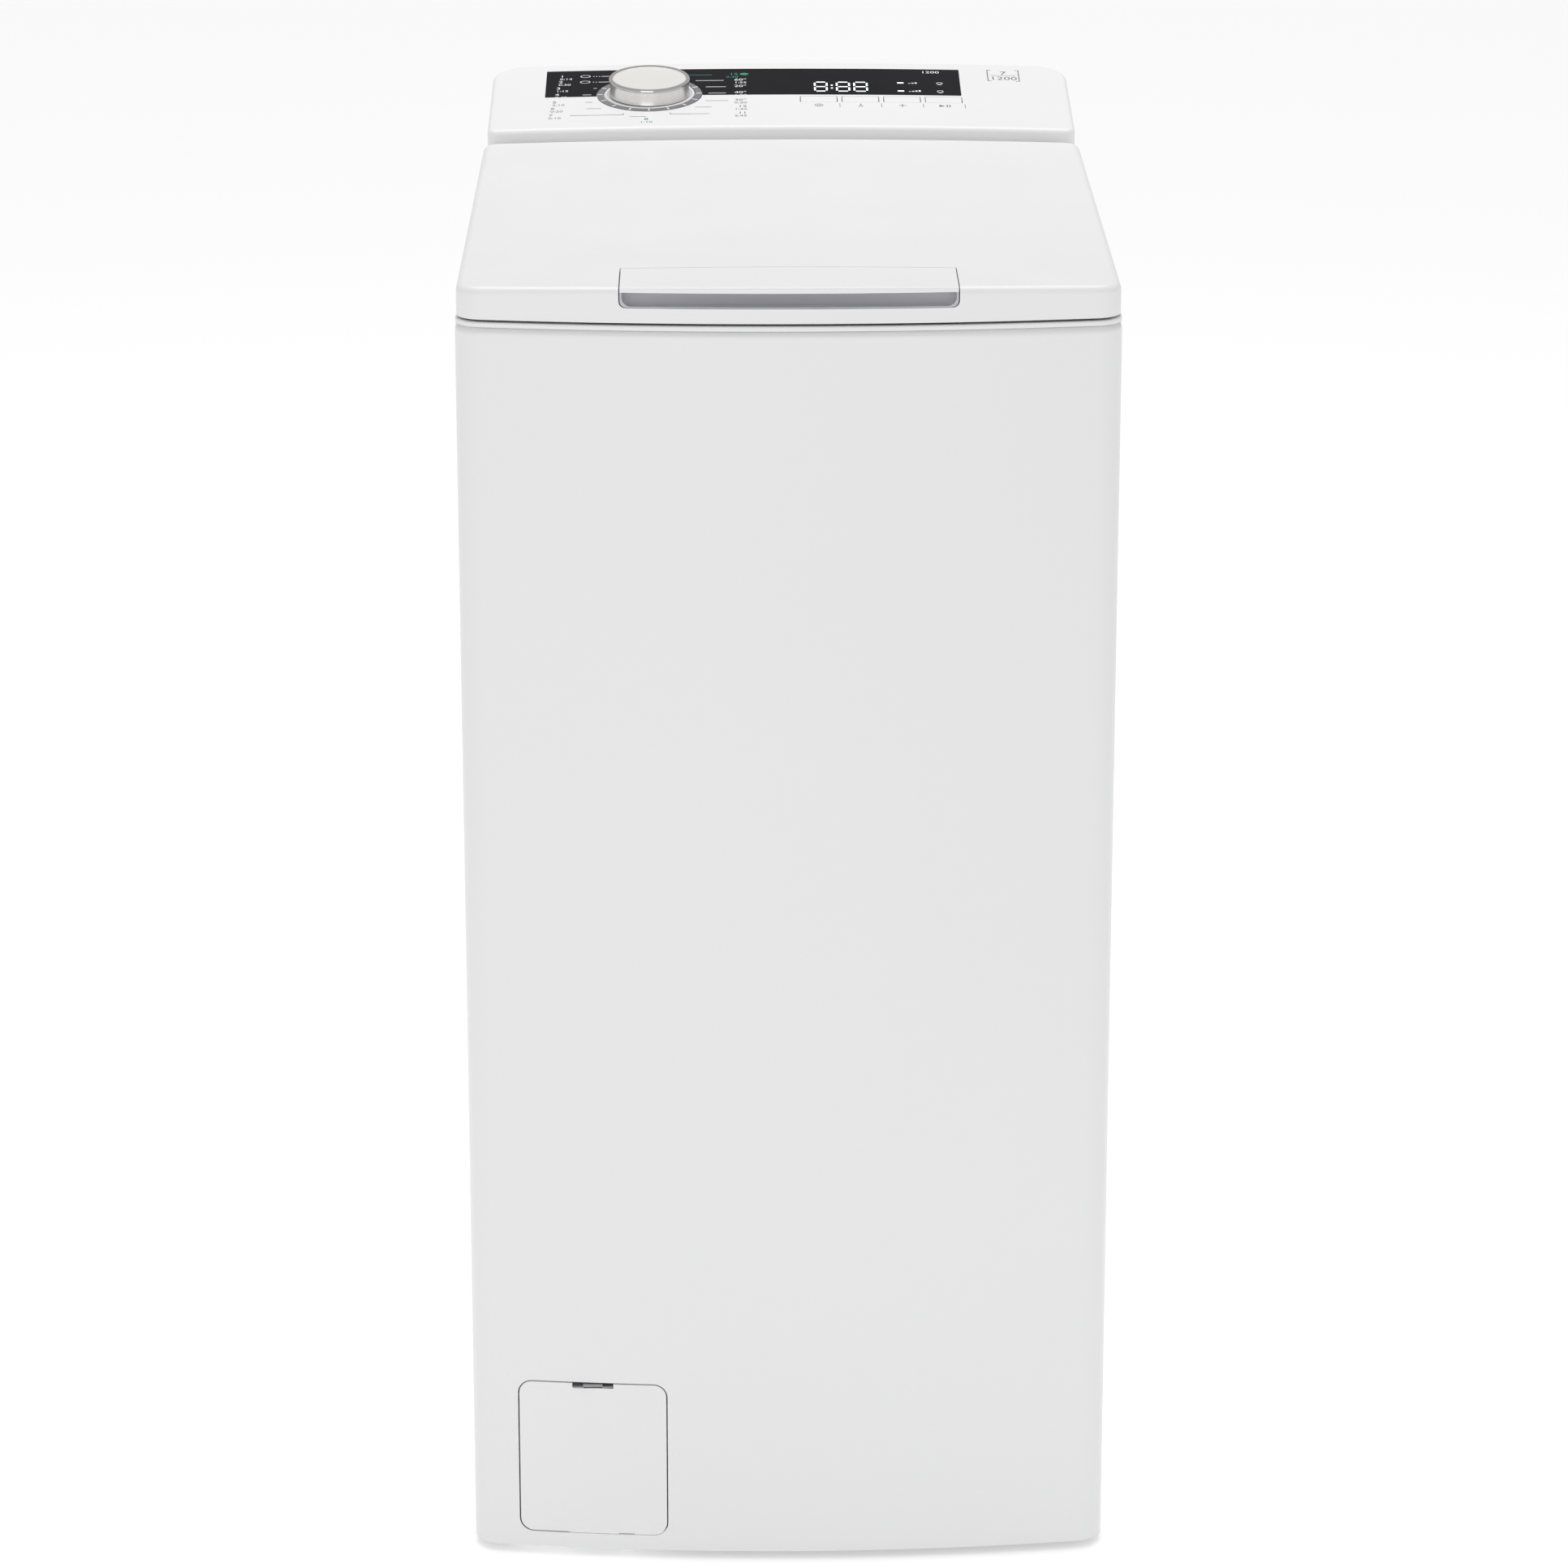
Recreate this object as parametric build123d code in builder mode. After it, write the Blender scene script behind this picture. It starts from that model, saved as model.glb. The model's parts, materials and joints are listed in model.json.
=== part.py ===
"""Narrow top load washing machine with a horizontal drum, in millimetres.

X runs to the right, Y to the back and Z up. The origin is on the floor, under the middle of the box.
"""

from build123d import *
import math
import os

os.makedirs("parts", exist_ok=True)

# Cabinet
WIDTH = 400.0
DEPTH = 600.0
HEIGHT = 850.0
HALF_W = WIDTH / 2
FRONT_Y = -DEPTH / 2
REAR_Y = 284.0
SHEET = 1.0
BOW_RADIUS = 1250.0
BOW_CENTRE_Y = FRONT_Y + BOW_RADIUS
CORNER_RADIUS = 18.0
SEAM_Y = -258.0
PANEL_BOTTOM = 5.0
PANEL_TOP = 797.5
PANEL_EDGE = 5.0
FLANGE = 10.0

# Top frame and its access well
DECK_BOTTOM = 797.6
DECK_TOP = 800.5
WELL_HALF_X = 140.0
WELL_FRONT_Y = -190.0
WELL_REAR_Y = 110.0
WELL_BOTTOM = 768.0
WALL = 2.5

# Lid
SKIRT_Z = 802.0
LID_SIDE_TOP = 821.0
CROWN = 3.0
LID_INSET = 1.0
LID_EDGE = 4.5
LID_REAR_Y = 160.5
HINGE_Y = 146.5
HINGE_Z = 812.5
PIN_RADIUS = 2.5
HINGE_X = 173.0
HANDLE_HALF_X = 101.0
HANDLE_REAR_Y = -241.0
LIP_Z = 820.0
RECESS_Z = 811.0

# Console
CONSOLE_FRONT_Y = 163.5
CONSOLE_REAR_Y = 297.0
CONSOLE_HALF_X = 196.8
CONSOLE_FRONT_TOP = 831.5
CONSOLE_EDGE = 3.0
SLOPE = math.atan2(HEIGHT - CONSOLE_FRONT_TOP, CONSOLE_REAR_Y - CONSOLE_EDGE - CONSOLE_FRONT_Y)
KNOB_X = -89.0
KNOB_V = 68.5
KNOB_RADIUS = 27.5
KNOB_HEIGHT = 12.0
RING_INNER = 31.0
RING_OUTER = 35.5
FASCIA_X = (-160.0, 123.0)
FASCIA_V = (65.5, 120.5)
KEY_LEFT = 13.1
KEY_PITCH = 28.25
KEY_WIDTH = 25.5
KEY_V = (50.0, 62.5)
KEY_GAP = 0.5

# Filter door
DOOR_X = (-171.0, -76.5)
DOOR_Z = (15.0, 119.0)
DOOR_CORNER = 9.0
DOOR_GAP = 0.7
FILTER_X = -124.0
FILTER_Z = 66.0

# Tub and drum
AXIS_Y = -38.0
AXIS_Z = 430.0
TUB_OUTER = 236.0
TUB_INNER = 232.0
TUB_HALF_X = 168.0
TUB_WALL = 5.0
NECK_HALF_X = 130.0
NECK_HALF_Y = 135.0
NECK_TOP = 690.0
DRUM_OUTER = 220.0
DRUM_SHEET = 1.2
DRUM_HALF_X = 150.0
MOUTH_HALF_X = 112.0
MOUTH_ANGLE = 32.6
FLAP_ANGLE = 31.0
FLAP_PIN_RADIUS = 1.5
FLAP_PIN_R = 217.0
SHAFT_RADIUS = 12.5
RUNNING_FIT = 0.05

# Drive
PULLEY_RADIUS = 125.0
MOTOR_Y = 110.0
MOTOR_Z = 160.0
MOTOR_PULLEY_RADIUS = 12.5
BELT_X = (176.0, 184.0)
BELT_THICK = 2.5

# Dampers and springs
DAMPERS = ((-110.0, -30.0), (150.0, -30.0))
SPRING_X = 179.0
SPRING_TOP = 772.0
SPRING_BOTTOM = 602.0


def save(piece, label):
    """Name a finished piece and write its file."""
    piece.part.label = label
    export_step(piece.part, f"parts/{label}.step")


def block(x, y, z, mode=Mode.ADD):
    """Box between pairs of X, Y and Z limits."""
    with Locations(((x[0] + x[1]) / 2, (y[0] + y[1]) / 2, (z[0] + z[1]) / 2)):
        Box(x[1] - x[0], y[1] - y[0], z[1] - z[0], mode=mode)


def rod_x(x, y, z, radius, mode=Mode.ADD):
    """Round bar along X between two X limits."""
    with Locations(((x[0] + x[1]) / 2, y, z)):
        Cylinder(radius, x[1] - x[0], rotation=(0, 90, 0), mode=mode)


def rod_y(x, y, z, radius, mode=Mode.ADD):
    """Round bar along Y between two Y limits."""
    with Locations((x, (y[0] + y[1]) / 2, z)):
        Cylinder(radius, y[1] - y[0], rotation=(90, 0, 0), mode=mode)


def rod_z(x, y, z, radius, mode=Mode.ADD):
    """Round bar along Z between two Z limits."""
    with Locations((x, y, (z[0] + z[1]) / 2)):
        Cylinder(radius, z[1] - z[0], mode=mode)


def bowed_plan(inset, rear_y):
    """Plan outline with a bowed front and rounded front corners."""
    half = HALF_W - inset
    radius = BOW_RADIUS - inset
    corner_y = BOW_CENTRE_Y - math.sqrt(radius**2 - half**2)
    with BuildSketch() as plan:
        with BuildLine():
            ThreePointArc((-half, corner_y), (0, BOW_CENTRE_Y - radius), (half, corner_y))
            Polyline((half, corner_y), (half, rear_y), (-half, rear_y), (-half, corner_y))
        make_face()
        fillet(plan.vertices().group_by(Axis.Y)[0], radius=max(CORNER_RADIUS - inset, 2))
    return plan.sketch


def bowed_block(inset, z, rear_y, edge=0.0):
    """Solid on the bowed plan, with its top front and side edges rounded."""
    with BuildPart() as bowed:
        with BuildSketch(Plane.XY.offset(z[0])):
            add(bowed_plan(inset, rear_y))
        extrude(amount=z[1] - z[0])
        if edge:
            top = bowed.faces().sort_by(Axis.Z)[-1]
            fillet(top.edges().sort_by(Axis.Y)[:-1], radius=edge)
    return bowed.part


# ------------------------------------------------------------------ cabinet


def front_panel():
    """Bowed sheet-steel front, wrapped round both corners and flanged top and bottom."""
    with BuildPart() as panel:
        add(bowed_block(0, (PANEL_BOTTOM, PANEL_TOP), SEAM_Y, PANEL_EDGE))
        inner = bowed_block(SHEET, (PANEL_BOTTOM + SHEET, PANEL_TOP - SHEET), SEAM_Y + SHEET, PANEL_EDGE - SHEET)
        add(inner, mode=Mode.SUBTRACT)
        add(bowed_block(FLANGE + 2, (0, HEIGHT), SEAM_Y + SHEET), mode=Mode.SUBTRACT)
        with BuildSketch(Plane.XZ.offset(-FRONT_Y + 5)):
            with Locations(((DOOR_X[0] + DOOR_X[1]) / 2, (DOOR_Z[0] + DOOR_Z[1]) / 2)):
                RectangleRounded(DOOR_X[1] - DOOR_X[0], DOOR_Z[1] - DOOR_Z[0], DOOR_CORNER)
        extrude(amount=-50, mode=Mode.SUBTRACT)
    save(panel, "front_panel")


def side_panel(side, label):
    """Side wall: a shallow pan of sheet steel with its flanges turned inwards."""
    with BuildPart() as panel:
        block((HALF_W - FLANGE, HALF_W), (SEAM_Y + 0.4, REAR_Y - SHEET), (PANEL_BOTTOM, PANEL_TOP))
        block(
            (0, HALF_W - SHEET),
            (SEAM_Y + 0.4 + SHEET, REAR_Y - 2 * SHEET),
            (PANEL_BOTTOM + SHEET, PANEL_TOP - SHEET),
            mode=Mode.SUBTRACT,
        )
        block((0, HALF_W - SHEET), (HINGE_Y - 14, CONSOLE_FRONT_Y + 3), (700, HEIGHT), mode=Mode.SUBTRACT)
        if side < 0:
            mirror(about=Plane.YZ, mode=Mode.REPLACE)
    save(panel, label)


COVER_X = 150.0
COVER_Z = (120.0, 640.0)
INLET = (150.0, 760.0)
OUTLET = (-150.0, 760.0)
GLAND = (-60.0, 740.0)


def rear_panel():
    """Flat rear sheet with the access opening and the holes for water and power."""
    with BuildPart() as panel:
        block((-HALF_W, HALF_W), (REAR_Y - SHEET, REAR_Y), (PANEL_BOTTOM, PANEL_TOP))
        block(
            (-COVER_X + 12, COVER_X - 12),
            (REAR_Y - 5, REAR_Y + 5),
            (COVER_Z[0] + 12, COVER_Z[1] - 12),
            mode=Mode.SUBTRACT,
        )
        for (x, z), radius in ((INLET, 15.0), (OUTLET, 12.0), (GLAND, 7.0)):
            rod_y(x, (REAR_Y - 5, REAR_Y + 5), z, radius, mode=Mode.SUBTRACT)
        fillet(panel.edges().filter_by(Axis.Y).group_by(Axis.Z)[0], radius=3)
    save(panel, "rear_panel")


def rear_cover():
    """Removable rear cover with a raised stiffening field and rounded corners."""
    with BuildPart() as cover:
        middle = (0, (COVER_Z[0] + COVER_Z[1]) / 2)
        size = (2 * COVER_X, COVER_Z[1] - COVER_Z[0])
        with BuildSketch(Plane.XZ.offset(-REAR_Y)):
            with Locations(middle):
                RectangleRounded(size[0], size[1], 12)
        extrude(amount=-SHEET)
        with BuildSketch(Plane.XZ.offset(-REAR_Y - SHEET)):
            with Locations(middle):
                RectangleRounded(size[0] - 50, size[1] - 50, 20)
        extrude(amount=-4, taper=30)
        with BuildSketch(Plane.XZ.offset(-REAR_Y)):
            with Locations(middle):
                RectangleRounded(size[0] - 52, size[1] - 52, 19)
        extrude(amount=-4, taper=30, mode=Mode.SUBTRACT)
    save(cover, "rear_cover")


def cabinet_screws():
    """Pan-head screws round the rear cover."""
    with BuildPart() as screws:
        for x in (-COVER_X + 6, COVER_X - 6):
            for z in (COVER_Z[0] + 8, (COVER_Z[0] + COVER_Z[1]) / 2, COVER_Z[1] - 8):
                rod_y(x, (REAR_Y + SHEET, REAR_Y + SHEET + 2.5), z, 4.5)
        for x in (-HALF_W + 6, HALF_W - 6):
            for z in (60, 300, 540, 770):
                rod_y(x, (REAR_Y, REAR_Y + 2.5), z, 4.5)
        heads = screws.edges().filter_by(GeomType.CIRCLE).group_by(Axis.Y)
        fillet(heads[-1] + heads[-2], radius=1.2)
    save(screws, "cabinet_screws")


FEET = ((-165.0, -215.0), (165.0, -215.0), (-165.0, 250.0), (165.0, 250.0))


def base_frame():
    """Moulded base tray with its cross member, pump cradle and filter notch."""
    with BuildPart() as base:
        block((-198.5, 198.5), (-234, 281), (10, 40))
        block((-196, 196), (-231.5, 278.5), (12.5, 50), mode=Mode.SUBTRACT)
        block((-140, 140), (15, 225), (0, 50), mode=Mode.SUBTRACT)
        block((-40, 130), (-195, -60), (0, 50), mode=Mode.SUBTRACT)
        block((-180, -68), (-240, -200), (31, 50), mode=Mode.SUBTRACT)
        block((FILTER_X - 22, FILTER_X + 22), (-146, -122), (12.5, 42))
        rod_y(FILTER_X, (-150, -118), FILTER_Z, 36, mode=Mode.SUBTRACT)
        for x, y in DAMPERS:
            rod_z(x, y, (12.5, 44), 18)
        for x, y in FEET:
            rod_z(x, y, (12.5, 20), 12)
            rod_z(x, y, (0, 50), 5, mode=Mode.SUBTRACT)
        block((-178, -70), (-240, -231), (0, 50), mode=Mode.SUBTRACT)
    save(base, "base_frame")


def levelling_feet():
    """Four screwed feet with wide rubbered pads."""
    with BuildPart() as feet:
        for x, y in FEET:
            rod_z(x, y, (0, 8), 18)
            rod_z(x, y, (8, 28), 5)
        fillet(feet.edges().filter_by(GeomType.CIRCLE).group_by(Axis.Z)[0], radius=1.5)
    save(feet, "levelling_feet")


LATCH_X = 70.0
LATCH_Y = -230.0


def rounded_ring(x, y, z, wall, corner, mode=Mode.ADD):
    """Upright rectangular collar with rounded corners, given by its inner limits."""
    centre = ((x[0] + x[1]) / 2, (y[0] + y[1]) / 2)
    with BuildSketch(Plane.XY.offset(z[0])) as ring:
        with Locations(centre):
            RectangleRounded(x[1] - x[0] + 2 * wall, y[1] - y[0] + 2 * wall, corner + wall)
            RectangleRounded(x[1] - x[0], y[1] - y[0], corner, mode=Mode.SUBTRACT)
    extrude(ring.sketch, amount=z[1] - z[0], mode=mode)


def rounded_block(x, y, z, corner, mode=Mode.ADD):
    """Upright block with rounded corners between pairs of limits."""
    with BuildSketch(Plane.XY.offset(z[0])) as plan:
        with Locations(((x[0] + x[1]) / 2, (y[0] + y[1]) / 2)):
            RectangleRounded(x[1] - x[0], y[1] - y[0], corner)
    extrude(plan.sketch, amount=z[1] - z[0], mode=mode)


TROUGH_HALF_X = 197.0
TROUGH_Y = (HINGE_Y - 11.5, CONSOLE_FRONT_Y)
TROUGH_Z = 793.5
TROUGH_WALL = 1.8


def top_frame():
    """Moulded deck round the access well, with the hinge trough, posts and spring hangers."""
    well_x = (-WELL_HALF_X, WELL_HALF_X)
    well_y = (WELL_FRONT_Y, WELL_REAR_Y)
    with BuildPart() as deck:
        add(bowed_block(0.4, (DECK_BOTTOM, DECK_TOP), REAR_Y, 1.2))
        block(
            (-TROUGH_HALF_X - TROUGH_WALL, TROUGH_HALF_X + TROUGH_WALL),
            (TROUGH_Y[0] - TROUGH_WALL, TROUGH_Y[1] + TROUGH_WALL),
            (TROUGH_Z - TROUGH_WALL, DECK_BOTTOM),
        )
        rounded_block(well_x, well_y, (780, 810), 25, mode=Mode.SUBTRACT)
        block((-TROUGH_HALF_X, TROUGH_HALF_X), TROUGH_Y, (TROUGH_Z, 810), mode=Mode.SUBTRACT)
        block((-HALF_W, HALF_W), TROUGH_Y, (DECK_BOTTOM - 0.1, 810), mode=Mode.SUBTRACT)
        rounded_ring(well_x, well_y, (WELL_BOTTOM, DECK_BOTTOM), WALL, 25)
        rounded_ring(well_x, well_y, (WELL_BOTTOM, WELL_BOTTOM + 3), 8, 25)
        block((LATCH_X - 6, LATCH_X + 6), (LATCH_Y - 12, LATCH_Y + 10), (780, 810), mode=Mode.SUBTRACT)
        block((-120, 100), (200, 260), (780, 810), mode=Mode.SUBTRACT)
        for side in (-1, 1):
            x = side * HINGE_X
            block((x - 3, x + 3), (HINGE_Y - 4, HINGE_Y + 4), (TROUGH_Z - 1, HINGE_Z))
            rod_x((x - 3, x + 3), HINGE_Y, HINGE_Z, 4)
            rod_x((x - 5, x + 5), HINGE_Y, HINGE_Z, PIN_RADIUS, mode=Mode.SUBTRACT)
            block((x - 5 + side, x + 13 + side), (-60, -16), (SPRING_TOP, DECK_BOTTOM))
    save(deck, "top_frame")


def lid_hinge_pins():
    """Two steel pins held in the hinge posts."""
    with BuildPart() as pins:
        for side in (-1, 1):
            x = side * HINGE_X
            rod_x((x - 9, x + 9), HINGE_Y, HINGE_Z, PIN_RADIUS)
        fillet(pins.edges().filter_by(GeomType.CIRCLE), radius=0.5)
    save(pins, "lid_hinge_pins")


def slope_point(v, w=0.0):
    """Y and Z of a point v up the console slope and w above its centre line."""
    y = CONSOLE_FRONT_Y + v * math.cos(SLOPE) - w * math.sin(SLOPE)
    z = CONSOLE_FRONT_TOP + v * math.sin(SLOPE) + w * math.cos(SLOPE)
    return y, z


def slope_plane(x, v, w):
    """Plane on the console slope, its normal pointing away from the console."""
    y, z = slope_point(v, w)
    return Plane(origin=(x, y, z), x_dir=(1, 0, 0), z_dir=(0, -math.sin(SLOPE), math.cos(SLOPE)))


CROWN_RADIUS = (HALF_W**2 + CROWN**2) / (2 * CROWN)


def crown_drop(x):
    """How far the crowned top lies under its middle at a distance x from it."""
    return CROWN_RADIUS - math.sqrt(CROWN_RADIUS**2 - x**2)


def crowned_bar(plane, length):
    """Long bar with a crowned top, drawn on a plane across its run."""
    with BuildPart() as bar:
        with BuildSketch(plane):
            with BuildLine():
                ThreePointArc((-HALF_W, -CROWN), (0, 0), (HALF_W, -CROWN))
                Polyline((HALF_W, -CROWN), (HALF_W, -90), (-HALF_W, -90), (-HALF_W, -CROWN))
            make_face()
        extrude(amount=length, both=True)
    return bar.part


def console_bar(drop):
    """Crowned bar along the console slope, its top lowered by a drop."""
    y, z = slope_point(0, -drop)
    along = (0, -math.cos(SLOPE), -math.sin(SLOPE))
    return crowned_bar(Plane(origin=(0, y, z), x_dir=(1, 0, 0), z_dir=along), 260)


def console_shell(inset, bottom, edge=0.0):
    """Solid console form, smaller all round by an inset."""
    half = CONSOLE_HALF_X - inset
    with BuildPart() as form:
        with BuildSketch(Plane.XY.offset(bottom)) as plan:
            with BuildLine():
                Polyline(
                    (-half, CONSOLE_FRONT_Y + inset),
                    (half, CONSOLE_FRONT_Y + inset),
                    (half, CONSOLE_REAR_Y - inset),
                    (-half, CONSOLE_REAR_Y - inset),
                    close=True,
                )
            make_face()
            fillet(plan.vertices().group_by(Axis.Y)[-1], radius=24 - inset)
            fillet(plan.vertices().group_by(Axis.Y)[0], radius=6 - inset)
        extrude(amount=90)
        add(console_bar(inset), mode=Mode.INTERSECT)
        if edge:
            fillet(form.faces().sort_by(Axis.Z)[-1].edges(), radius=edge)
    return form.part


def fascia_form(grow, depth):
    """Fascia plate let into the slope, with a round notch for the dial."""
    middle_x = (FASCIA_X[0] + FASCIA_X[1]) / 2
    middle_v = (FASCIA_V[0] + FASCIA_V[1]) / 2
    with BuildPart() as plate:
        with BuildSketch(slope_plane(0, 0, -6)):
            with Locations((middle_x, middle_v)):
                Rectangle(FASCIA_X[1] - FASCIA_X[0] + 2 * grow, FASCIA_V[1] - FASCIA_V[0] + 2 * grow)
            with Locations((KNOB_X, KNOB_V)):
                Circle(RING_OUTER + 0.4 - grow, mode=Mode.SUBTRACT)
        extrude(amount=12)
        add(console_bar(0), mode=Mode.INTERSECT)
        add(console_bar(depth), mode=Mode.SUBTRACT)
    return plate.part


def key_centre(index):
    """X and v of the middle of a push key."""
    return KEY_LEFT + KEY_WIDTH / 2 + index * KEY_PITCH, (KEY_V[0] + KEY_V[1]) / 2


RING_DROP = crown_drop(KNOB_X)


def console_housing():
    """Sloping console shell with its pockets and key openings."""
    with BuildPart() as shell:
        add(console_shell(0, DECK_TOP, CONSOLE_EDGE))
        add(console_shell(WALL, DECK_TOP - 5), mode=Mode.SUBTRACT)
        add(fascia_form(0.1, 1.2), mode=Mode.SUBTRACT)
        with BuildSketch(slope_plane(0, 0, 5)):
            with Locations((KNOB_X, KNOB_V)):
                Circle(9)
            for index in range(4):
                with Locations(key_centre(index)):
                    RectangleRounded(KEY_WIDTH, KEY_V[1] - KEY_V[0], 1.2)
        extrude(amount=-16, mode=Mode.SUBTRACT)
        with BuildSketch(slope_plane(0, 0, -RING_DROP - 1.2)):
            with Locations((KNOB_X, KNOB_V)):
                Circle(RING_OUTER)
                Circle(RING_INNER, mode=Mode.SUBTRACT)
        extrude(amount=8, mode=Mode.SUBTRACT)
        block((-20, 140), (REAR_Y - 4, 310), (DECK_TOP - 1, DECK_TOP + 6), mode=Mode.SUBTRACT)
    save(shell, "console_housing")


def console_fascia():
    """Glossy black fascia plate."""
    with BuildPart() as plate:
        add(fascia_form(0, 1.2))
    save(plate, "console_fascia")


def dial_ring():
    """Ring round the programme knob."""
    with BuildPart() as ring:
        with BuildSketch(slope_plane(KNOB_X, KNOB_V, -RING_DROP - 1.2)):
            Circle(RING_OUTER)
            Circle(RING_INNER, mode=Mode.SUBTRACT)
        extrude(amount=1.6)
        fillet(ring.edges().sort_by(Axis.Z)[-2:], radius=0.3)
    save(ring, "dial_ring")


def program_knob():
    """Round programme knob with a skirt, a raised rim and its shaft."""
    with BuildPart() as knob:
        with BuildSketch(slope_plane(KNOB_X, KNOB_V, -RING_DROP + 0.5)):
            Circle(28)
        extrude(amount=2)
        with BuildSketch(slope_plane(KNOB_X, KNOB_V, -RING_DROP + 2.5)):
            Circle(KNOB_RADIUS)
        extrude(amount=KNOB_HEIGHT - 2.5)
        fillet(knob.edges().filter_by(GeomType.CIRCLE).sort_by(Axis.Z)[-1], radius=1.2)
        with BuildSketch(slope_plane(KNOB_X, KNOB_V, -RING_DROP + KNOB_HEIGHT)):
            Circle(KNOB_RADIUS - 3)
        extrude(amount=-0.8, taper=-20, mode=Mode.SUBTRACT)
        with BuildSketch(slope_plane(KNOB_X, KNOB_V, -RING_DROP + 0.5)):
            Circle(3)
        extrude(amount=-9)
    save(knob, "program_knob")


def push_key(index):
    """Push key with its plunger, just proud of the slope."""
    x, v = key_centre(index)
    with BuildPart() as key:
        with BuildSketch(slope_plane(x, v, -4.5)):
            RectangleRounded(KEY_WIDTH - 2 * KEY_GAP, KEY_V[1] - KEY_V[0] - 2 * KEY_GAP, 0.9)
        extrude(amount=4.5 - crown_drop(x) + 0.1)
        fillet(key.faces().sort_by(Axis.Z)[-1].edges(), radius=0.4)
        with BuildSketch(slope_plane(x, v, -4.5)):
            Rectangle(6, 6)
        extrude(amount=-4)
    save(key, f"key_{index + 1}")


def control_board():
    """Control and display board on its carrier, with the dial encoder and its display module."""
    with BuildPart() as board:
        with BuildSketch(slope_plane(0, 0, -12)):
            with Locations((-20, 82)):
                Rectangle(300, 66)
        extrude(amount=1.6)
        with BuildSketch(slope_plane(0, 0, -10.4)):
            with Locations((KNOB_X, KNOB_V)):
                Circle(8)
                Circle(3 + RUNNING_FIT, mode=Mode.SUBTRACT)
        extrude(amount=5)
        with BuildSketch(slope_plane(0, 0, -10.4)):
            with Locations((43, 82)):
                Rectangle(44, 22)
        extrude(amount=5.5)
        with BuildSketch(slope_plane(0, 0, -12)):
            with Locations((-20, 105)):
                Rectangle(30, 10)
            with Locations((70, 90)):
                Rectangle(14, 20)
        extrude(amount=-8)
        block((95, 115), (230, 240), (DECK_TOP, slope_point(70, -12)[1]))
        block((-150, -140), (230, 240), (DECK_TOP, slope_point(70, -12)[1]))
    save(board, "control_board")


# ------------------------------------------------------------------ lid


def lid_bar(drop):
    """Crowned bar along Y for the lid's top, lowered by a drop."""
    top = LID_SIDE_TOP + CROWN - drop
    return crowned_bar(Plane(origin=(0, 0, top), x_dir=(1, 0, 0), z_dir=(0, -1, 0)), 400)


def lid_form(inset, bottom, edge):
    """Solid lid form, smaller all round by an inset."""
    rear_y = LID_REAR_Y - inset + LID_INSET
    with BuildPart() as form:
        add(bowed_block(inset, (bottom, 860), rear_y))
        rear = form.edges().filter_by(Axis.Z).group_by(Axis.Y)[-1]
        fillet(rear, radius=12 - inset)
        add(lid_bar(inset - LID_INSET), mode=Mode.INTERSECT)
        fillet(form.faces().sort_by(Axis.Z)[-1].edges(), radius=edge)
    return form.part


def lid_shell():
    """Moulded lid skin with its skirt, hinge bosses and handle opening."""
    with BuildPart() as lid:
        add(lid_form(LID_INSET, SKIRT_Z, LID_EDGE))
        add(lid_form(LID_INSET + WALL, SKIRT_Z - 5, LID_EDGE - WALL), mode=Mode.SUBTRACT)
        with BuildSketch(Plane.XY.offset(RECESS_Z)):
            with Locations((0, (HANDLE_REAR_Y + FRONT_Y) / 2 - 5)):
                RectangleRounded(2 * HANDLE_HALF_X + 0.8, HANDLE_REAR_Y - FRONT_Y + 10.8, 4)
        extrude(amount=30, mode=Mode.SUBTRACT)
        for side in (-1, 1):
            for x in (side * HINGE_X - 6.5, side * HINGE_X + 6.5):
                block((x - 2.8, x + 2.8), (HINGE_Y - 5, HINGE_Y + 5), (HINGE_Z, LID_SIDE_TOP - 1))
                rod_x((x - 2.8, x + 2.8), HINGE_Y, HINGE_Z, 5)
            x = side * HINGE_X
            rod_x((x - 11, x + 11), HINGE_Y, HINGE_Z, PIN_RADIUS + RUNNING_FIT, mode=Mode.SUBTRACT)
            block((x - 3.7, x + 3.7), (HINGE_Y - 9, 170), (790, HINGE_Z + 4.6), mode=Mode.SUBTRACT)
        block((LATCH_X - 20, LATCH_X + 20), (-250, -210), (790, 803), mode=Mode.SUBTRACT)
    save(lid, "lid_shell")


LINER_Z = (804.0, 806.0)
TRAY_HALF_X = 98.0
TRAY_Y = (-140.0, 60.0)
TRAY_Z = (768.0, 799.0)


def lid_liner():
    """Inner lid panel with the dispenser rails and the lock hook."""
    with BuildPart() as liner:
        add(bowed_block(LID_INSET + WALL + 0.3, LINER_Z, HINGE_Y - 9))
        block((-HANDLE_HALF_X - 6, HANDLE_HALF_X + 6), (FRONT_Y, -268), (790, 810), mode=Mode.SUBTRACT)
        rounded_ring((-120, 120), (-175, 95), (LINER_Z[0] - 2.5, LINER_Z[0]), 3, 20)
        for side in (-1, 1):
            wall = sorted((side * (TRAY_HALF_X + 5), side * (TRAY_HALF_X + 7.5)))
            lip = sorted((side * (TRAY_HALF_X + 1), side * (TRAY_HALF_X + 7.5)))
            block(wall, (TRAY_Y[0] - 10, TRAY_Y[1]), (791, LINER_Z[0]))
            block(lip, (TRAY_Y[0] - 10, TRAY_Y[1]), (791, 793))
        block((LATCH_X - 1.5, LATCH_X + 1.5), (LATCH_Y - 6, LATCH_Y + 6), (780, LINER_Z[0]))
        block((LATCH_X - 5, LATCH_X + 5), (LATCH_Y - 3, LATCH_Y + 7), (785, 793), mode=Mode.SUBTRACT)
        block((LATCH_X - 8, LATCH_X + 8), (LATCH_Y - 10, LATCH_Y + 10), (802.4, LINER_Z[0]))
    save(liner, "lid_liner")


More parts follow.
